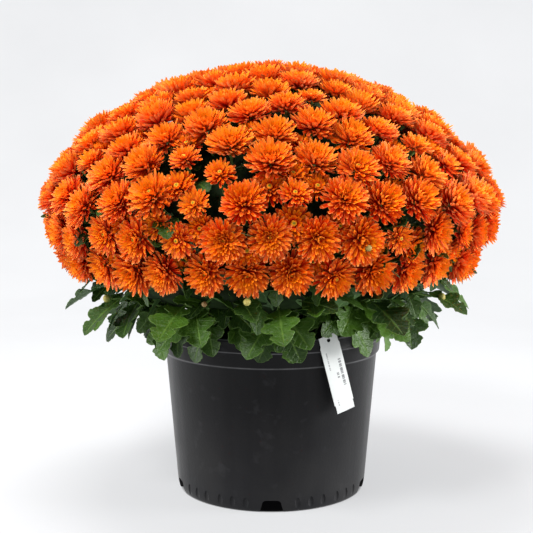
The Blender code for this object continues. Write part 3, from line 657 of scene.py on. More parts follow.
large_kinds = [
    bloom_kind("full_bloom", 3, full_layers, 0.08, 0.12),
    bloom_kind("full_bloom_two", 4, full_layers, 0.08, 0.1),
    bloom_kind("open_bloom", 5, open_layers, 0.12, 0.1),
    bloom_kind("open_bloom_two", 9, open_layers, 0.1, 0.12),
    bloom_kind("deep_bloom", 6, deep_layers, 0.1, 0.06),
]
small_kinds = [
    bloom_kind("small_bloom", 7, small_layers, 0.15, 0.08),
    bloom_kind("small_bloom_two", 8, small_layers, 0.16, 0.06),
]
discard(petal)
discard(short_petal)

# %% [markdown]
# ## Crowd the blooms together
# On the plant the blooms press on each other. A petal that would grow into its neighbour's half of the room
# slows down as it nears the plane between the two hearts, and slides up along its own bloom instead.


# %% Place each bloom and press it against its neighbours
CROWD_REACH = 0.075
PRESS_START, PRESS_MOST, PRESS_LIFT = -0.004, 0.0055, 0.3
PAINTED_TOP_LIGHT_FROM, PAINTED_TOP_LIGHT_OVER = 0.28, 0.16


def pressed(spots, bloom, neighbours):
    """Ease points back from the neighbours' side and lift them instead."""
    facing = np.array(bloom["facing"])
    room = PRESS_MOST - PRESS_START
    for other in neighbours:
        between = np.array((other["hub"] - bloom["hub"]).normalized())
        past = (spots - (np.array(bloom["hub"]) + np.array(other["hub"])) / 2) @ between
        eased = PRESS_START + room * (1 - np.exp(-np.clip(past - PRESS_START, 0, None) / room))
        shift = np.where(past > PRESS_START, past - eased, 0.0)[:, None]
        spots = spots - shift * between + PRESS_LIFT * shift * facing
    return spots


def placed_bloom(bloom, chance):
    kinds = small_kinds if bloom["small"] else large_kinds
    copy = twin(chance.choice(kinds), "bloom_copy")
    spin = Matrix.Rotation(chance.uniform(0, math.tau), 3, "Z")
    turned = bloom["facing"].to_track_quat("Z", "Y").to_matrix() @ spin
    size = np.array((1.0, 1.0, chance.uniform(0.85, 1.15))) * bloom["radius"]
    spots = through(coordinates(copy.data) * size, turned) + np.array(bloom["hub"])
    near = [o for o in blooms if o is not bloom and (o["hub"] - bloom["hub"]).length < CROWD_REACH]
    put(copy.data, pressed(spots, bloom, near))
    # Higher blooms take more of the warm, lighter colour: painted light from above, as half of their tone.
    painted_top_light_share = min(1.0, max(0.0, (bloom["hub"].z - PAINTED_TOP_LIGHT_FROM) / PAINTED_TOP_LIGHT_OVER))
    repaint(copy.data, "bloom", 0, 0.5 * chance.random() + 0.5 * painted_top_light_share)
    return copy


chance = random.Random(12)
for number in range(SPRAY_COUNT):
    copies = [placed_bloom(bloom, chance) for bloom in blooms + late_blooms if bloom["spray"] == number]
    spray = joined(copies, f"spray_{number + 1:02d}_blooms")
    stand_for(spray, "petal_orange", f"spray_{number + 1:02d}")
for kind in large_kinds + small_kinds:
    discard(kind)

# %% [markdown]
# ## One leaf
# A chrysanthemum leaf has a stalk, two pairs of side lobes and an end lobe, all toothed. It starts as half a
# leaf: a grid whose rows run from the midrib to the margin. The margin's points are moved one by one to draw
# the lobes. Mirror makes the other half, and Solidify gives the blade its thickness.

# %% Draw half a leaf
# Each row: where it leaves the midrib, and how far out and how far up its end on the margin is.
LEAF_ROWS = (
    (0.0, 0.012, 0.0), (0.1, 0.018, 0.1), (0.15, 0.08, 0.17), (0.18, 0.17, 0.205), (0.22, 0.225, 0.26),
    (0.26, 0.235, 0.32), (0.3, 0.18, 0.35), (0.34, 0.115, 0.37), (0.38, 0.12, 0.42), (0.42, 0.21, 0.46),
    (0.46, 0.285, 0.5), (0.5, 0.315, 0.56), (0.53, 0.355, 0.59), (0.56, 0.36, 0.65), (0.59, 0.31, 0.69),
    (0.62, 0.255, 0.71), (0.65, 0.165, 0.72), (0.69, 0.155, 0.76), (0.73, 0.215, 0.79), (0.77, 0.235, 0.83),
    (0.81, 0.19, 0.865), (0.85, 0.185, 0.9), (0.89, 0.13, 0.935), (0.93, 0.11, 0.96), (0.97, 0.05, 0.985),
    (1.0, 0.012, 1.0),
)
YOUNG_ROWS = (
    (0.0, 0.012, 0.0), (0.12, 0.025, 0.12), (0.19, 0.18, 0.22), (0.26, 0.2, 0.31), (0.33, 0.105, 0.37),
    (0.41, 0.235, 0.46), (0.48, 0.3, 0.55), (0.55, 0.315, 0.64), (0.61, 0.175, 0.7), (0.7, 0.17, 0.77),
    (0.78, 0.205, 0.84), (0.86, 0.13, 0.9), (0.93, 0.1, 0.96), (1.0, 0.012, 1.0),
)


def drawn_leaf(name, outline, columns):
    """Half a leaf as a grid whose margin is moved out to the outline, mirrored and made thick."""
    leave_edit()
    last = len(outline) - 1
    middle = (0.5, 0.5, 0)
    bpy.ops.mesh.primitive_grid_add(x_subdivisions=columns, y_subdivisions=last, size=1.0, location=middle)
    leaf = added(name)
    edit(leaf)
    for row, (rib_y, margin_x, margin_y) in enumerate(outline):
        for column in range(columns + 1):
            x, y = column / columns, row / last
            select("VERT", lambda m: m.z < 0.1 and abs(m.x - x) + abs(m.y - y) < 0.01)
            move = (margin_x * x - x, rib_y + (margin_y - rib_y) * x - y, 0.5 + 0.1 * x)
            bpy.ops.transform.translate(value=move)
    leave_edit()
    spots = coordinates(leaf.data)
    share = np.clip((spots[:, 2] - 0.5) / 0.1, 0, 1)
    spots[:, 2] = 0
    put(leaf.data, spots)
    paint(leaf.data, "leaf", (spots[:, 1], share, 0.5, spots[:, 0]))
    apply(leaf, "MIRROR", use_axis=(True, False, False), merge_threshold=0.0001)
    apply(leaf, "SOLIDIFY", thickness=0.009, offset=0.0)
    smooth(leaf, 50)
    print(name, len(leaf.data.polygons), "faces")
    return leaf


leaf = drawn_leaf("leaf", LEAF_ROWS, 2)
young_leaf = drawn_leaf("young_leaf", YOUNG_ROWS, 1)

# %% [markdown]
# ## Leaf colours
# The upper side is a deep green with a paler midrib, side veins and a light line along its margin. The lower
# side is greyer. The veins are drawn from the numbers stored on the leaf: how far along it a point is, how
# near the margin, and how far from the midrib.


# %% Leaf finishes
def leaf_finish(name, deep, fresh, vein, edge):
    """Green between deep and fresh, with a midrib, side veins and a light margin."""
    made, shader = finish_named(name, 0.45, 0.3)
    along, share, tone, offset = stored("leaf")
    colour = blend(spread(tone, 0.0, 1.0), deep, fresh)
    colour = blend(times(blotches(90.0), 0.35), colour, deep)
    ladder = maths("SUBTRACT", along, times(offset, 0.75))
    wave = maths("ABSOLUTE", maths("SINE", times(ladder, 24.0)))
    veins = maths("MAXIMUM", spread(wave, 0.0, 0.16, 0.5, 0.0), spread(share, 0.0, 0.14, 0.9, 0.0))
    colour = blend(times(veins, 0.5), colour, vein)
    colour = blend(spread(share, 0.88, 1.0, 0.0, 0.3), colour, edge)
    feed(shader["Base Color"], colour)
    relief = maths("SUBTRACT", blotches(260.0), times(veins, 1.4))
    feed(shader["Normal"], bump(relief, 0.5, 0.0009))
    return made


UPPER_GREENS = (0.006, 0.023, 0.002), (0.062, 0.148, 0.009), (0.15, 0.27, 0.045), (0.14, 0.26, 0.035)
LOWER_GREENS = (0.035, 0.08, 0.025), (0.08, 0.16, 0.045), (0.17, 0.27, 0.1), (0.16, 0.27, 0.09)
leaf_upper = leaf_finish("leaf_upper", *UPPER_GREENS)
leaf_lower = leaf_finish("leaf_lower", *LOWER_GREENS)
for pattern in (leaf, young_leaf):
    for finish in (leaf_upper, leaf_lower):
        pattern.data.materials.append(finish)
    for face in pattern.data.polygons:
        face.material_index = 0 if face.normal.z > -0.5 else 1
stem_finish, shader = finish_named("stem_green", 0.5, 0.3)
feed(shader["Base Color"], blend(blotches(60.0), (0.1, 0.2, 0.045), (0.2, 0.32, 0.09)))
feed(shader["Normal"], bump(blotches(500.0), 0.3, 0.0004))
print("leaf finishes:", leaf_upper.name, leaf_lower.name, stem_finish.name)


# %% Put a leaf on its stem
def leaf_turn(heading, pitch, splay, roll):
    turned = Matrix.Rotation(heading, 4, "Z") @ Matrix.Rotation(pitch, 4, "X") @ Matrix.Rotation(roll, 4, "Y")
    return (turned @ Matrix.Rotation(math.pi + splay, 4, "Z")).to_3x3()


def grown_leaf(root, heading, pitch, splay, roll, length, wave, tone, pattern=None):
    """A copy of a leaf: folded along its midrib, curled down and waved, then turned to its heading."""
    copy = twin(pattern or leaf, "leaf_copy")
    x, y, z = coordinates(copy.data).T
    rise = 0.22 * np.abs(x) - 0.24 * y * y + wave * x * np.sin(7 * y)
    rise += 0.02 * np.sin(x * 30 + tone * 9) * np.sin(y * 22 + tone * 5) * np.abs(x) * 2
    spots = np.column_stack((x, y, z + rise)) * length
    put(copy.data, through(spots, leaf_turn(heading, pitch, splay, roll)) + np.array(root))
    repaint(copy.data, "leaf", 2, tone)
    return copy


def stems(name, routes, sides=3):
    """Round stems along routes of points with radii, as one curve that is turned into a mesh."""
    line = bpy.data.curves.new(name, "CURVE")
    line.dimensions = "3D"
    line.bevel_depth = 1.0
    line.bevel_resolution = sides
    line.use_fill_caps = True
    line.resolution_u = 3
    for route in routes:
        spline = line.splines.new("NURBS")
        spline.points.add(len(route) - 1)
        spline.use_endpoint_u = True
        spline.order_u = 3
        for knot, (point, radius) in zip(spline.points, route):
            knot.co = (*point, 1.0)
            knot.radius = radius
    piece = bpy.data.objects.new(name, line)
    bpy.context.scene.collection.objects.link(piece)
    take(piece)
    bpy.ops.object.convert(target="MESH")
    piece = bpy.context.active_object
    edit(piece)
    close_up(0.00005)
    smooth(piece, 60)
    piece.data.materials.append(stem_finish)
    paint(piece.data, "leaf", (0.5, 0.5, 0.5))
    return piece


print("leaf and stem makers ready")

# %% [markdown]
# ## Leafy side shoots
# Twelve shoots rise out of the soil near the rim, bend over it and carry the leaves that hang round the pot.
# Their large leaves repeat the frame's rule draw by draw, so each hangs where its coarse leaf did, unless it
# would hide the tag: then it turns aside and grows a little shorter. Younger leaves between them close the
# skirt, as they do on the plant.

# %% The frame's rule for a large leaf
POT_HEIGHT, LIP_RADIUS = 0.192, 0.1285
SHOOT_COUNT, SOIL_TOP, HOLE_DEPTH = 12, 0.166, 0.022
TAG_TURN, TAG_TILT, TAG_WIDTH, TAG_LENGTH, TAG_TOP = math.radians(27), math.radians(-16), 0.024, 0.087, 0.1955
COARSE_LEAF = [(0.3, 0.3), (0.15, 0.43), (0.42, 0.64), (0.19, 0.71)]
COARSE_LEAF += [(-x, y) for x, y in COARSE_LEAF] + [(0.0, 0.5), (0.0, 1.0)]


def cylindrical(radius, turn, height):
    """A point at a turn from the front, counted towards +X."""
    return Vector((radius * math.sin(turn), -radius * math.cos(turn), height))


def coarse_points(root, heading, pitch, splay, roll, length, wave):
    turned = Matrix.Rotation(heading, 4, "Z") @ Matrix.Rotation(pitch, 4, "X") @ Matrix.Rotation(roll, 4, "Y")
    turned = Matrix.Translation(root) @ turned @ Matrix.Rotation(math.pi + splay, 4, "Z")
    points = []
    for half in (0.0004, -0.0004):
        for x, y in COARSE_LEAF:
            rise = 0.22 * abs(x) - 0.24 * y * y + wave * x * math.sin(7 * y)
            points.append(turned @ Vector((x * length, y * length, rise * length + half)))
    return points


def on_card(spot):
    """Where a point that is turned to the tag's front lies on its card."""
    return Matrix.Rotation(-TAG_TILT, 3, "Y") @ Vector((spot.x, 0, spot.z - TAG_TOP))


def near_tag(point):
    local = Matrix.Rotation(-TAG_TURN, 3, "Z") @ point
    flat = on_card(local)
    in_front = LIP_RADIUS - 0.012 < -local.y < LIP_RADIUS + 0.006
    return in_front and abs(flat.x) < TAG_WIDTH / 2 + 0.003 and -TAG_LENGTH - 0.005 < flat.z < 0.012


def hides_tag(point):
    """Whether a point stands between the camera and the tag."""
    turned = Matrix.Rotation(-TAG_TURN, 3, "Z")
    eye, near = turned @ camera.location, turned @ point
    share = (-LIP_RADIUS - eye.y) / (near.y - eye.y)
    flat = on_card(eye + (near - eye) * share)
    return share > 0.98 and abs(flat.x) < TAG_WIDTH / 2 + 0.004 and -TAG_LENGTH < flat.z < 0.005


def between(points):
    return points + [(a + b) / 2 for a in points for b in points]


def clear_of_pot(points):
    """Whether points stay off the lip, the soil and the view of the tag."""
    for point in between(points):
        past_lip = math.hypot(point.x, point.y) - LIP_RADIUS
        in_lip = -0.006 < past_lip < 0.0025 and point.z < POT_HEIGHT + 0.004
        in_soil = past_lip < 0 and point.z < SOIL_TOP + 0.006
        if in_lip or in_soil or hides_tag(point):
            return False
    return True


def leaf_has_room(points, turn, side):
    for point in between(points):
        local = Matrix.Rotation(-turn, 3, "Z") @ point
        if abs(local.x) > -local.y * math.tan(math.pi / SHOOT_COUNT) - 0.0006 or local.x * side < -0.009:
            return False
        if math.hypot(point.x, point.y) < LIP_RADIUS + 0.0025 and point.z < POT_HEIGHT + 0.004:
            return False
        if point.z > DOME_LOWEST - 0.03 or near_tag(point):
            return False
    return True


print("leaf room between", POT_HEIGHT + 0.004, "and", DOME_LOWEST - 0.03)

# %% A closed bud
BUD_SHOOTS = (2, 6, 10)
bud_finish, shader = finish_named("closed_bud", 0.5, 0.3)
height, _, age, _ = stored("leaf")
colour = ramp(height, (0.0, (0.06, 0.12, 0.02)), (0.5, (0.2, 0.25, 0.05)), (1.0, (0.46, 0.38, 0.1)))
colour = blend(spread(age, 0.5, 1.0, 0.0, 0.85), colour, (0.2, 0.1, 0.05))
feed(shader["Base Color"], blend(times(blotches(300.0), 0.3), colour, (0.24, 0.17, 0.04)))
feed(shader["Normal"], bump(blotches(600.0), 0.4, 0.0005))


def closed_bud(place, along, size=1.0, age=0.5):
    """A round bud, ribbed where its petals are folded, with a wider green foot."""
    leave_edit()
    bpy.ops.mesh.primitive_uv_sphere_add(segments=20, ring_count=12, radius=1.0)
    bud = added("bud")
    spots = coordinates(bud.data)
    ribs = 1 + 0.05 * np.cos(np.arctan2(spots[:, 1], spots[:, 0]) * 10) * (1 - np.abs(spots[:, 2]))
    paint(bud.data, "leaf", (spots[:, 2] * 0.5 + 0.5, 0.5, age))
    ribs[spots[:, 2] < -0.35] *= 1.12
    spots = spots * ribs[:, None] * np.array((0.0042, 0.0042, 0.0039)) * size
    put(bud.data, through(spots, along.to_track_quat("Z", "Y").to_matrix()) + np.array(place))
    smooth(bud, 60)
    bud.data.materials.append(bud_finish)
    return bud


print("bud finish", bud_finish.name)

# %% Grow the shoots
# Each leaf: how far out it leaves the stem, its side, its turn, its pitch in degrees and its length.
SHOOT_LEAVES = (
    (0.132, -1, 0.0, -68, 0.062), (0.14, 1, 0.0, -60, 0.06), (0.157, -1, 0.2, -40, 0.06),
    (0.167, 1, 0.2, -34, 0.06), (0.185, 0, 0.0, -20, 0.056),
)
BEND_RADIUS, END_RADIUS, FOOT_RADIUS = 0.112, 0.186, 0.084
ROOM_TRIES, MOST_ASIDE = 14, 0.6
YOUNG_LEAVES, HANGING_SHARE, YOUNG_WAVE = 22, 0.4, 0.08
small_chance = random.Random(77)


def on_shoot(bend, end, radius):
    """The point of a shoot's outer part that is this far from the pot's axis."""
    return bend.lerp(end, (radius - BEND_RADIUS) / (END_RADIUS - BEND_RADIUS))


for number in range(SHOOT_COUNT):
    turn = math.radians(2.0) + number * math.tau / SHOOT_COUNT
    lift = draw.uniform(-0.003, 0.003)
    bend, end = cylindrical(BEND_RADIUS, turn, 0.2145 + lift), cylindrical(END_RADIUS, turn, 0.237 + lift)
    leaves = []
    for radius, side, yaw, pitch, length in SHOOT_LEAVES:
        yaw = yaw * side + draw.uniform(-0.08, 0.08)
        splay = (0.4 + draw.uniform(-0.05, 0.1)) * side
        pitch = math.radians(pitch + draw.uniform(-8, 8))
        length *= draw.uniform(0.9, 1.12)
        roll = draw.uniform(-0.3, 0.3)
        wave = draw.uniform(0.02, 0.1)
        root = on_shoot(bend, end, radius)
        for _ in range(ROOM_TRIES):
            points = coarse_points(root, turn + yaw, -pitch, splay, roll, length, wave)
            if leaf_has_room(points, turn, side):
                aside, tone = 0.0, (number * 0.37 + radius * 9) % 1
                heading = turn + yaw
                while abs(aside) < MOST_ASIDE and any(hides_tag(point) for point in between(points)):
                    aside -= 0.08 * (side or 1)
                    length *= 0.97
                    heading = turn + yaw + aside
                    points = coarse_points(root, heading, -pitch, splay - aside, roll, length, wave)
                leaves.append(grown_leaf(root, heading, -pitch, splay - aside, roll, length, wave, tone))
                break
            yaw, pitch, roll, length = yaw * 0.9, pitch + math.radians(1), roll * 0.8, length * 0.965
    grown = 0
    while grown < YOUNG_LEAVES:
        hanging = small_chance.random() < HANGING_SHARE
        radius = small_chance.uniform(0.122, 0.142) if hanging else small_chance.uniform(0.1, 0.2)
        root = Matrix.Rotation(small_chance.uniform(-0.26, 0.26), 3, "Z") @ on_shoot(bend, end, radius)
        root.z += small_chance.uniform(-0.006, 0.02)
        heading = turn + small_chance.uniform(-0.8, 0.8)
        pitch = math.radians(small_chance.uniform(-78, -25) if hanging else small_chance.uniform(-50, 50))
        side = small_chance.uniform(-0.6, 0.6)
        size = small_chance.uniform(0.03, 0.05)
        roll = small_chance.uniform(-0.9, 0.9)
        if clear_of_pot(coarse_points(root, heading, -pitch, side, roll, size, YOUNG_WAVE)):
            tone = small_chance.random()
            leaves.append(grown_leaf(root, heading, -pitch, side, roll, size, YOUNG_WAVE, tone, young_leaf))
            grown += 1
    foot, ground = (cylindrical(FOOT_RADIUS, turn, z) for z in (SOIL_TOP - HOLE_DEPTH + 0.001, 0.19))
    routes = [[(foot, 0.0019), (ground, 0.0018), (bend, 0.0017), (end, 0.001)]]
    if number in BUD_SHOOTS:
        bud_place = cylindrical(0.206, turn, 0.234)
        from_stem = on_shoot(bend, end, 0.176)
        sag = (from_stem + bud_place) / 2 - Vector((0, 0, 0.001))
        routes.append([(from_stem, 0.0012), (sag, 0.0011), (bud_place, 0.001)])
        leaves.append(closed_bud(bud_place, bud_place - from_stem))
    leaves.append(stems("shoot_stem", routes))
    shoot = joined(leaves, f"shoot_{number + 1:02d}_leaves")
    stand_for(shoot, "leaf_green", f"shoot_{number + 1:02d}")
print("shoots", SHOOT_COUNT, "with", len(shoot.data.polygons), "faces on the last")

# %% [markdown]
# ## Stalks, branches and inner leaves
# Under the blooms, every bloom has a green cup and a stalk that runs back to a branch, and the branches meet
# in a short woody stem. Leaves fill the room between the stalks and take only the darker greens, a painted
# shade, so the gaps between blooms look dark green. A lumpy core far inside, painted near black as shade,
# keeps light from shining through the plant.

# %% Stalks and branches
routes = []
for bloom in blooms:
    hub, facing = bloom["hub"], bloom["facing"]
    inner = Vector((hub.x * 0.5, hub.y * 0.5, 0.2 + (hub.z - 0.2) * 0.55))
    cup = bloom["radius"] * 0.26
    cup_and_stalk = (cup + 0.002, 0.0042), (cup + 0.0055, 0.0034), (0.018, 0.0012), (0.045, 0.0013)
    routes.append([(hub - facing * depth, radius) for depth, radius in cup_and_stalk] + [(inner, 0.0016)])
for number in range(7):
    turn = (number + 0.3) * math.tau / 7
    branch = (0.002, 0.183 + 0.006 * (number % 2), 0.0042), (0.055, 0.226, 0.0034), (0.125, 0.275, 0.0025)
    routes.append([(cylindrical(out, turn, z), radius) for out, z, radius in branch])
trunk = (0.145, 0.009), (0.2, 0.008), (0.271, 0.006), (0.3, 0.004)
routes.append([(Vector((0, 0, z)), radius) for z, radius in trunk])
bud_places = Vector((-0.024, -0.224, 0.2465)), Vector((0.0895, -0.235, 0.299)), Vector((-0.066, -0.2, 0.241))
for place in bud_places:
    heart = Vector((place.x * 0.6, place.y * 0.6, 0.262))
    sag = place.lerp(heart, 0.4) + Vector((0, 0, -0.004))
    routes.append([(heart, 0.0013), (sag, 0.0012), (place, 0.001)])
crown_stems = stems("crown_stems", routes, sides=1)
crown_buds = [
    closed_bud(place, place - Vector((0, 0, 0.26)), 0.85 - 0.1 * k, 0.5 + 0.25 * k)
    for k, place in enumerate(bud_places)
]
crown_stems = joined([crown_stems, *crown_buds], "crown_stems")
stand_for(crown_stems, "leaf_green", "crown")
print("stems", len(routes), "faces", len(crown_stems.data.polygons))

# %% Inner core
CORE_SIZE, CORE_UNDER, CORE_HEIGHT = (0.205, 0.205, 0.118), -0.11, 0.318
leave_edit()
bpy.ops.mesh.primitive_uv_sphere_add(segments=64, ring_count=32, radius=1.0, location=(0, 0, 0))
core = added("crown_core")
spots = coordinates(core.data)
lumps = 1 + 0.03 * np.sin(spots[:, 0] * 19 + 1) * np.sin(spots[:, 1] * 17) * np.cos(spots[:, 2] * 15)
spots *= lumps[:, None] * np.array(CORE_SIZE)
under = CORE_UNDER * np.clip(1 - (np.hypot(spots[:, 0], spots[:, 1]) / 0.212) ** 3, 0, 1) ** 0.5
spots[:, 2] = np.where(spots[:, 2] < 0, under, spots[:, 2])
put(core.data, spots + np.array((DOME_CENTRE_X, 0, CORE_HEIGHT)))
smooth(core, 60)
core_finish, shader = finish_named("inner_shade", 0.8, 0.1)
# Painted near black: painted shade deep inside the plant.
feed(shader["Base Color"], blend(blotches(70.0), (0.004, 0.008, 0.003), (0.014, 0.03, 0.007)))
core.data.materials.append(core_finish)
stand_for(core, "leaf_green")
print("core", [round(side, 3) for side in core.dimensions])

# %% Inner leaves
LOW_BLOOM, ROOM_LEAVES, ROOM_LEAF_LENGTH = 0.33, 90, 0.044
leaf_chance = random.Random(5)
leaves = []
for bloom in blooms:
    hub, facing = bloom["hub"], bloom["facing"]
    low = hub.z < LOW_BLOOM
    for _ in range(3 if low else 1):
        side = Matrix.Rotation(leaf_chance.uniform(0, math.tau), 3, facing) @ facing.orthogonal().normalized()
        root = hub - facing * leaf_chance.uniform(0.026, 0.036)
        tip = (side + facing * leaf_chance.uniform(0.35, 0.8)).normalized()
        if low:
            tip = (tip + Vector((0, 0, -0.4))).normalized()
        heading = math.atan2(tip.x, -tip.y)
        pitch = math.asin(max(-1.0, min(1.0, tip.z)))
        size = leaf_chance.uniform(0.032, 0.045)
        roll = leaf_chance.uniform(-0.6, 0.6)
        # Inner leaves take only the darker greens: painted shade deep in the plant.
        tone = 0.5 * leaf_chance.random()
        leaves.append(grown_leaf(root, heading, -pitch, 0.0, roll, size, YOUNG_WAVE, tone, young_leaf))
for _ in range(ROOM_LEAVES):
    turn = leaf_chance.uniform(0, math.tau)
    root = cylindrical(leaf_chance.uniform(0.09, 0.19), turn, leaf_chance.uniform(0.24, 0.272))
    heading = turn + leaf_chance.uniform(-0.9, 0.9)
    pitch = leaf_chance.uniform(-0.5, 0.6)
    roll = leaf_chance.uniform(-0.9, 0.9)
    # These leaves too take only the darker greens: painted shade deep in the plant.
    tone = 0.4 * leaf_chance.random()
    leaves.append(grown_leaf(root, heading, pitch, 0.0, roll, ROOM_LEAF_LENGTH, YOUNG_WAVE, tone, young_leaf))
crown_leaves = joined(leaves, "crown_leaves")
stand_for(crown_leaves, "leaf_green")
discard(leaf)
discard(young_leaf)
print("inner leaves", len(leaves), "faces", len(crown_leaves.data.polygons))

# %% [markdown]
# ## The pot
# A nursery pot is one thin moulding: a rounded lip, two stepped bands, a tapering wall and a foot with five
# notches for drainage. Its section is drawn from the middle of the floor over the lip and back under it, and
# spun once round. The notches and the little flutes beside them are cut with boolean tools.

# %% Draw the pot's section
POT_SECTION = [
    (0.0, 0.0175), (0.1, 0.0175), (0.1062, 0.019), (0.1075, 0.022), (0.1199, 0.1585), (0.1222, 0.163),
    (0.1238, 0.176), (0.1243, 0.1885), (0.1248, 0.1904), (0.126, 0.1917), (0.1271, 0.192), (0.1281, 0.1915),
    (0.1285, 0.1902), (0.1284, 0.1888), (0.12805, 0.188), (0.1281, 0.1795), (0.128, 0.1782), (0.1272, 0.1773),
    (0.12675, 0.1765), (0.1254, 0.1632), (0.125, 0.1621), (0.1226, 0.1592), (0.1221, 0.158), (0.11, 0.0125),
    (0.1095, 0.0075), (0.1085, 0.003), (0.1075, 0.0006), (0.1066, 0.0), (0.1036, 0.0), (0.103, 0.0006),
    (0.1028, 0.015), (0.0, 0.015),
]
leave_edit()
bpy.ops.mesh.primitive_plane_add(size=0.01, location=(0, 0, 0))
pot = added("pot_body")
edit(pot)
bpy.ops.mesh.select_all(action="SELECT")
bpy.ops.mesh.merge(type="CENTER")
bpy.ops.mesh.select_all(action="SELECT")
bpy.ops.transform.translate(value=(0, 0, POT_SECTION[0][1]))
for (r0, z0), (r1, z1) in zip(POT_SECTION, POT_SECTION[1:]):
    bpy.ops.mesh.extrude_region_move(TRANSFORM_OT_translate={"value": (r1 - r0, 0, z1 - z0)})
bpy.ops.mesh.select_all(action="SELECT")
bpy.ops.mesh.spin(steps=160, angle=math.tau, center=(0, 0, 0), axis=(0, 0, 1))
close_up(0.00002)
print("pot", len(pot.data.polygons), "faces", [round(side, 4) for side in pot.dimensions])

# %% Cut the notches and flutes
NOTCH_COUNT, FLUTE_DEGREES = 5, (15, 23, 31, 41, 49, 57)
NOTCH_PLACE, NOTCH_SIZE = (0, -0.1062, 0.0045), (0.021, 0.016, 0.018)
FLUTE_PLACE, FLUTE_SIZE = (0, -0.1098, 0.0078), (0.0033, 0.0014, 0.0085)
tools = []
for number in range(NOTCH_COUNT):
    turn = number * math.tau / NOTCH_COUNT
    leave_edit()
    bpy.ops.mesh.primitive_cube_add(size=1.0, location=NOTCH_PLACE)
    tool = added("notch_tool")
    put(tool.data, (coordinates(tool.data) - NOTCH_PLACE) * NOTCH_SIZE + NOTCH_PLACE)
    edit(tool, "EDGE")
    select("EDGE", lambda m: m.z > 0.01 and abs(m.x) > 0.01)
    bpy.ops.mesh.bevel(offset=0.0045, segments=5)
    leave_edit()
    spots = coordinates(tool.data)
    spots[:, 0] *= 1 + 0.35 * np.clip((0.0045 - spots[:, 2]) / 0.009, 0, 1)
    put(tool.data, through(spots, Matrix.Rotation(turn, 3, "Z")))
    tools.append(tool)
    for flute in FLUTE_DEGREES:
        leave_edit()
        bpy.ops.mesh.primitive_uv_sphere_add(segments=12, ring_count=8, radius=1.0)
        tool = added("flute_tool")
        spots = coordinates(tool.data) * FLUTE_SIZE + FLUTE_PLACE
        put(tool.data, through(spots, Matrix.Rotation(turn + math.radians(flute), 3, "Z")))
        tools.append(tool)
cutter = joined(tools, "pot_cutter")
apply(pot, "BOOLEAN", object=cutter, operation="DIFFERENCE", solver="EXACT")
discard(cutter)
smooth(pot, 35)
print("cut pot", len(pot.data.polygons), "faces")

# %% [markdown]
# ## Pot plastic
# Recycled black plastic is charcoal rather than black, with a satin surface, faint upright flow marks from
# the mould, a few scuffs and some dried water and dust low down, and it grows lighter towards the bottom.
# Thin pale lines at the lip and the two steps below it are painted highlights. All of these are soft changes
# of colour and roughness on the piece's own coordinates.

# %% Pot finish
PAINTED_HIGHLIGHT_HEIGHTS = (0.1912, 0.1776, 0.1608)
pot_finish, shader = finish_named("pot_plastic_worn_painted_highlights", 0.4, 0.13)
shader["Sheen Weight"].default_value, shader["Sheen Roughness"].default_value = 0.3, 0.3
place = add("TexCoord", output="Object")
x, y, z = add("SeparateXYZ", {0: place}).node.outputs
around = add("CombineXYZ", {0: times(x, 60.0), 1: times(y, 60.0), 2: times(z, 4.0)})
flow = add("TexNoise", {"Vector": around, "Scale": 1.0, "Detail": 5.0})
scuffs = blotches(55.0, 8.0, 0.62, 0.72)
dust = times(blotches(18.0, 6.0, 0.4, 0.7), spread(z, 0.0, 0.12, 1.6, 0.2))
colour = blend(spread(flow, 0.3, 0.7), (0.0022, 0.0022, 0.0028), (0.005, 0.005, 0.0058))
# Lighter towards the bottom.
colour = blend(spread(z, 0.02, 0.13, 0.5, 0.0), colour, (0.02, 0.02, 0.022))
colour = blend(times(scuffs, 0.3), colour, (0.03, 0.03, 0.033))
colour = blend(times(dust, 0.1), colour, (0.05, 0.048, 0.044))
# Thin pale lines at the edges of the lip and the steps below it are painted highlights.
for height in PAINTED_HIGHLIGHT_HEIGHTS:
    edge = spread(away(z, height), 0.0003, 0.0011, 0.8, 0.0)
    colour = blend(times(edge, spread(flow, 0.3, 0.6, 0.5, 1.0)), colour, (0.11, 0.11, 0.115))
feed(shader["Base Color"], colour)
feed(shader["Roughness"], spread(maths("ADD", flow, times(dust, 0.4)), 0.3, 1.0, 0.34, 0.6))
feed(shader["Normal"], bump(blotches(320.0, 3.0, 0.2, 0.8), 0.25, 0.0003))
pot.data.materials.append(pot_finish)
stand_for(pot, "pot_plastic", "pot")
print("pot finish", pot_finish.name)

# %% [markdown]
# ## Potting soil
# Peat and bark fill the pot to a little below the lip. The soil starts as a disc that fits the pot's inside.
# Insets divide it finely and its points are moved at random, which gives a heap of crumbs. Its rim is then
# drawn down the tapering wall to the pot's floor. The finish scatters pale specks among the crumbs.

# %% Soil
SOIL_RADIUS, SOIL_EDGE, SOIL_DEPTH, SOIL_TAPER, SOIL_RINGS = 0.1194, 0.158, 0.139, 0.897, 14
leave_edit()
edge_middle = (0, 0, SOIL_EDGE)
bpy.ops.mesh.primitive_circle_add(vertices=96, radius=SOIL_RADIUS, fill_type="NGON", location=edge_middle)
soil = added("soil_fill")
edit(soil, "FACE")
bpy.ops.mesh.select_all(action="SELECT")
for step in range(SOIL_RINGS):
    bpy.ops.mesh.inset(thickness=0.0075 if step else 0.002)
bpy.ops.mesh.poke()
leave_edit()
spots = coordinates(soil.data)
reach = np.hypot(spots[:, 0], spots[:, 1])
shoulder = np.clip((SOIL_RADIUS - reach) / 0.03, 0, 1) * 0.007
spots[:, 2] = SOIL_EDGE + shoulder + 0.003 * np.clip(1 - reach / 0.1, 0, 1)
crumbs = np.random.default_rng(3).normal(0, 0.0011, (len(spots), 3)) * (reach < 0.118)[:, None]
put(soil.data, spots + crumbs)
edit(soil, "EDGE")
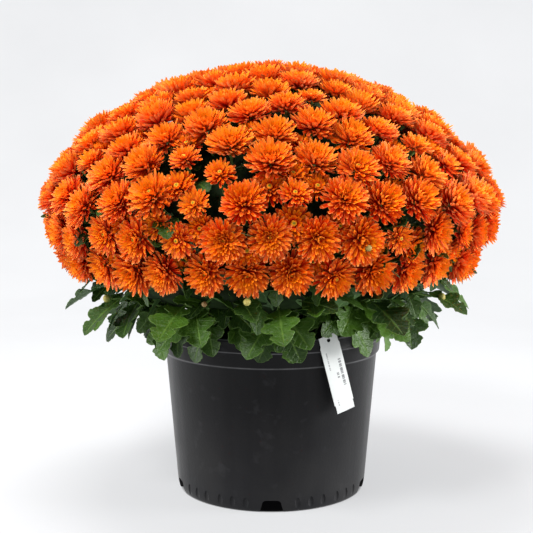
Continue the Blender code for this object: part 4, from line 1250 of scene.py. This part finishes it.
bpy.ops.mesh.select_non_manifold(
    extend=False, use_wire=False, use_boundary=True, use_multi_face=False, use_non_contiguous=False,
    use_verts=False,
)
bpy.ops.mesh.extrude_region_move(TRANSFORM_OT_translate={"value": (0, 0, -SOIL_DEPTH)})
bpy.ops.transform.resize(value=(SOIL_TAPER, SOIL_TAPER, 1), center_override=(0, 0, 0))
bpy.ops.mesh.edge_face_add()
close_up()
soil_finish, shader = finish_named("crumbly_soil", 0.95, 0.15)
colour = blend(blotches(160.0), (0.018, 0.011, 0.007), (0.06, 0.036, 0.02))
colour = blend(blotches(330.0, 2.0, 0.68, 0.72), colour, (0.5, 0.47, 0.42))
feed(shader["Base Color"], colour)
feed(shader["Normal"], bump(blotches(420.0), 0.9, 0.0016))
soil.data.materials.append(soil_finish)
stand_for(soil, "potting_soil", "soil")
print("soil", len(soil.data.polygons), "faces")

# %% [markdown]
# ## Hang tag
# The tag is a strip of white plastic sheet with small shoulders near both ends, a punched hole and a hook
# that goes over the lip. It starts as a thin box, its cut ends are pulled in by hand, and a cylinder punches
# the hole. Its printing is shown by broken grey bars only, which stand for no word.

# %% Cut the tag
def tag_place(across, out, along):
    """A point of the tag: across it, out from the lip, and up from its top edge."""
    tilted = Matrix.Rotation(TAG_TILT, 3, "Y") @ Vector((across, 0, along))
    return Matrix.Rotation(TAG_TURN, 3, "Z") @ Vector((tilted.x, -LIP_RADIUS - out, tilted.z + TAG_TOP))


TAG_THICKNESS, STEP_DEPTH = 0.0007, 0.002
card_middle = (0, 0, -TAG_LENGTH / 2)
leave_edit()
bpy.ops.mesh.primitive_cube_add(size=1.0, location=card_middle)
tag = added("tag_card")
card_size = (TAG_WIDTH, TAG_THICKNESS, TAG_LENGTH)
put(tag.data, (coordinates(tag.data) - card_middle) * card_size + card_middle)
edit(tag, "FACE")
for height in (-0.0095, -0.0115, 0.0095 - TAG_LENGTH, 0.009 - TAG_LENGTH):
    bpy.ops.mesh.select_all(action="SELECT")
    bpy.ops.mesh.bisect(plane_co=(0, 0, height), plane_no=(0, 0, 1))
select("VERT", lambda m: m.z > -0.0105)
bpy.ops.transform.resize(value=(1 - STEP_DEPTH / TAG_WIDTH, 1, 1), center_override=(0, 0, 0))
select("VERT", lambda m: m.z < -TAG_LENGTH + 0.0092)
bpy.ops.transform.resize(value=(1 - STEP_DEPTH / TAG_WIDTH, 1, 1), center_override=(0, 0, 0))
leave_edit()
bpy.ops.mesh.primitive_cylinder_add(
    vertices=32, radius=0.0022, depth=0.01, location=(0, 0, -0.0055), rotation=(math.pi / 2, 0, 0)
)
punch = added("tag_punch")
apply(tag, "BOOLEAN", object=punch, operation="DIFFERENCE", solver="EXACT")
discard(punch)
apply(tag, "BEVEL", width=0.0001, segments=1, limit_method="ANGLE")
print("tag", len(tag.data.polygons), "faces")

# %% Bend its hook and hang it
leave_edit()
bpy.ops.mesh.primitive_cube_add(size=1.0, location=(0, 0, 0))
hook = added("tag_hook")
put(hook.data, coordinates(hook.data) * [0.006, 0.0005, 0.004])
edit(hook, "FACE")
select("FACE", lambda m: m.z > 0.0019)
bpy.ops.mesh.extrude_region_move(TRANSFORM_OT_translate={"value": (0, 0, 0.001)})
select("FACE", lambda m: m.y > 0.0002 and m.z > 0.0021)
bpy.ops.mesh.extrude_region_move(TRANSFORM_OT_translate={"value": (0, 0.0053, 0)})
bpy.ops.mesh.extrude_region_move(TRANSFORM_OT_translate={"value": (0, 0.0006, 0)})
select("FACE", lambda m: m.z < 0.0021 and m.y > 0.0052)
bpy.ops.mesh.extrude_region_move(TRANSFORM_OT_translate={"value": (0, 0, -0.0195)})
leave_edit()
flat = coordinates(tag.data)
paint(tag.data, "tag", (flat[:, 0] / TAG_WIDTH + 0.5, -flat[:, 2] / TAG_LENGTH, 1.0))
paint(hook.data, "tag", (0.0, 0.0, 0.0))
put(tag.data, np.array([tag_place(x, 0.0007 - y, z) for x, y, z in flat]))
spots = coordinates(hook.data) + [0, -LIP_RADIUS - 0.0007, TAG_TOP - 0.0015]
put(hook.data, through(spots, Matrix.Rotation(TAG_TURN, 3, "Z")))
edit(tag)
close_up()
tag = joined([tag, hook], "tag_card")
tag_finish, shader = finish_named("tag_plastic", 0.4, 0.5)
colour = blend(blotches(30.0), (0.68, 0.7, 0.69), (0.74, 0.76, 0.75))
across, along, printed, _ = stored("tag")
ink = add("TexNoise", {"Vector": add("CombineXYZ", {0: along}), "Scale": 55.0, "Detail": 0.0})
strokes = spread(ink, 0.42, 0.47)
# Each bar: its middle across the card, its half height, its start and end along the card, and its darkness.
for middle, height, start, end, dark in (
    (0.22, 0.035, 0.21, 0.44, 0.6),
    (0.77, 0.075, 0.33, 0.68, 0.85),
    (0.55, 0.065, 0.49, 0.565, 0.8),
    (0.23, 0.032, 0.83, 0.905, 0.6),
):
    bar = spread(away(across, middle), height * 0.8, height, dark, 0.0)
    bar = times(bar, maths("LESS_THAN", away(along, (start + end) / 2), (end - start) / 2))
    bar = times(times(bar, strokes), printed)
    colour = blend(bar, colour, (0.12, 0.12, 0.13))
feed(shader["Base Color"], colour)
tag.data.materials.append(tag_finish)
stand_for(tag, "tag_white", "tag")
print("tag hung at", [round(v, 3) for v in tag.bound_box[0]])
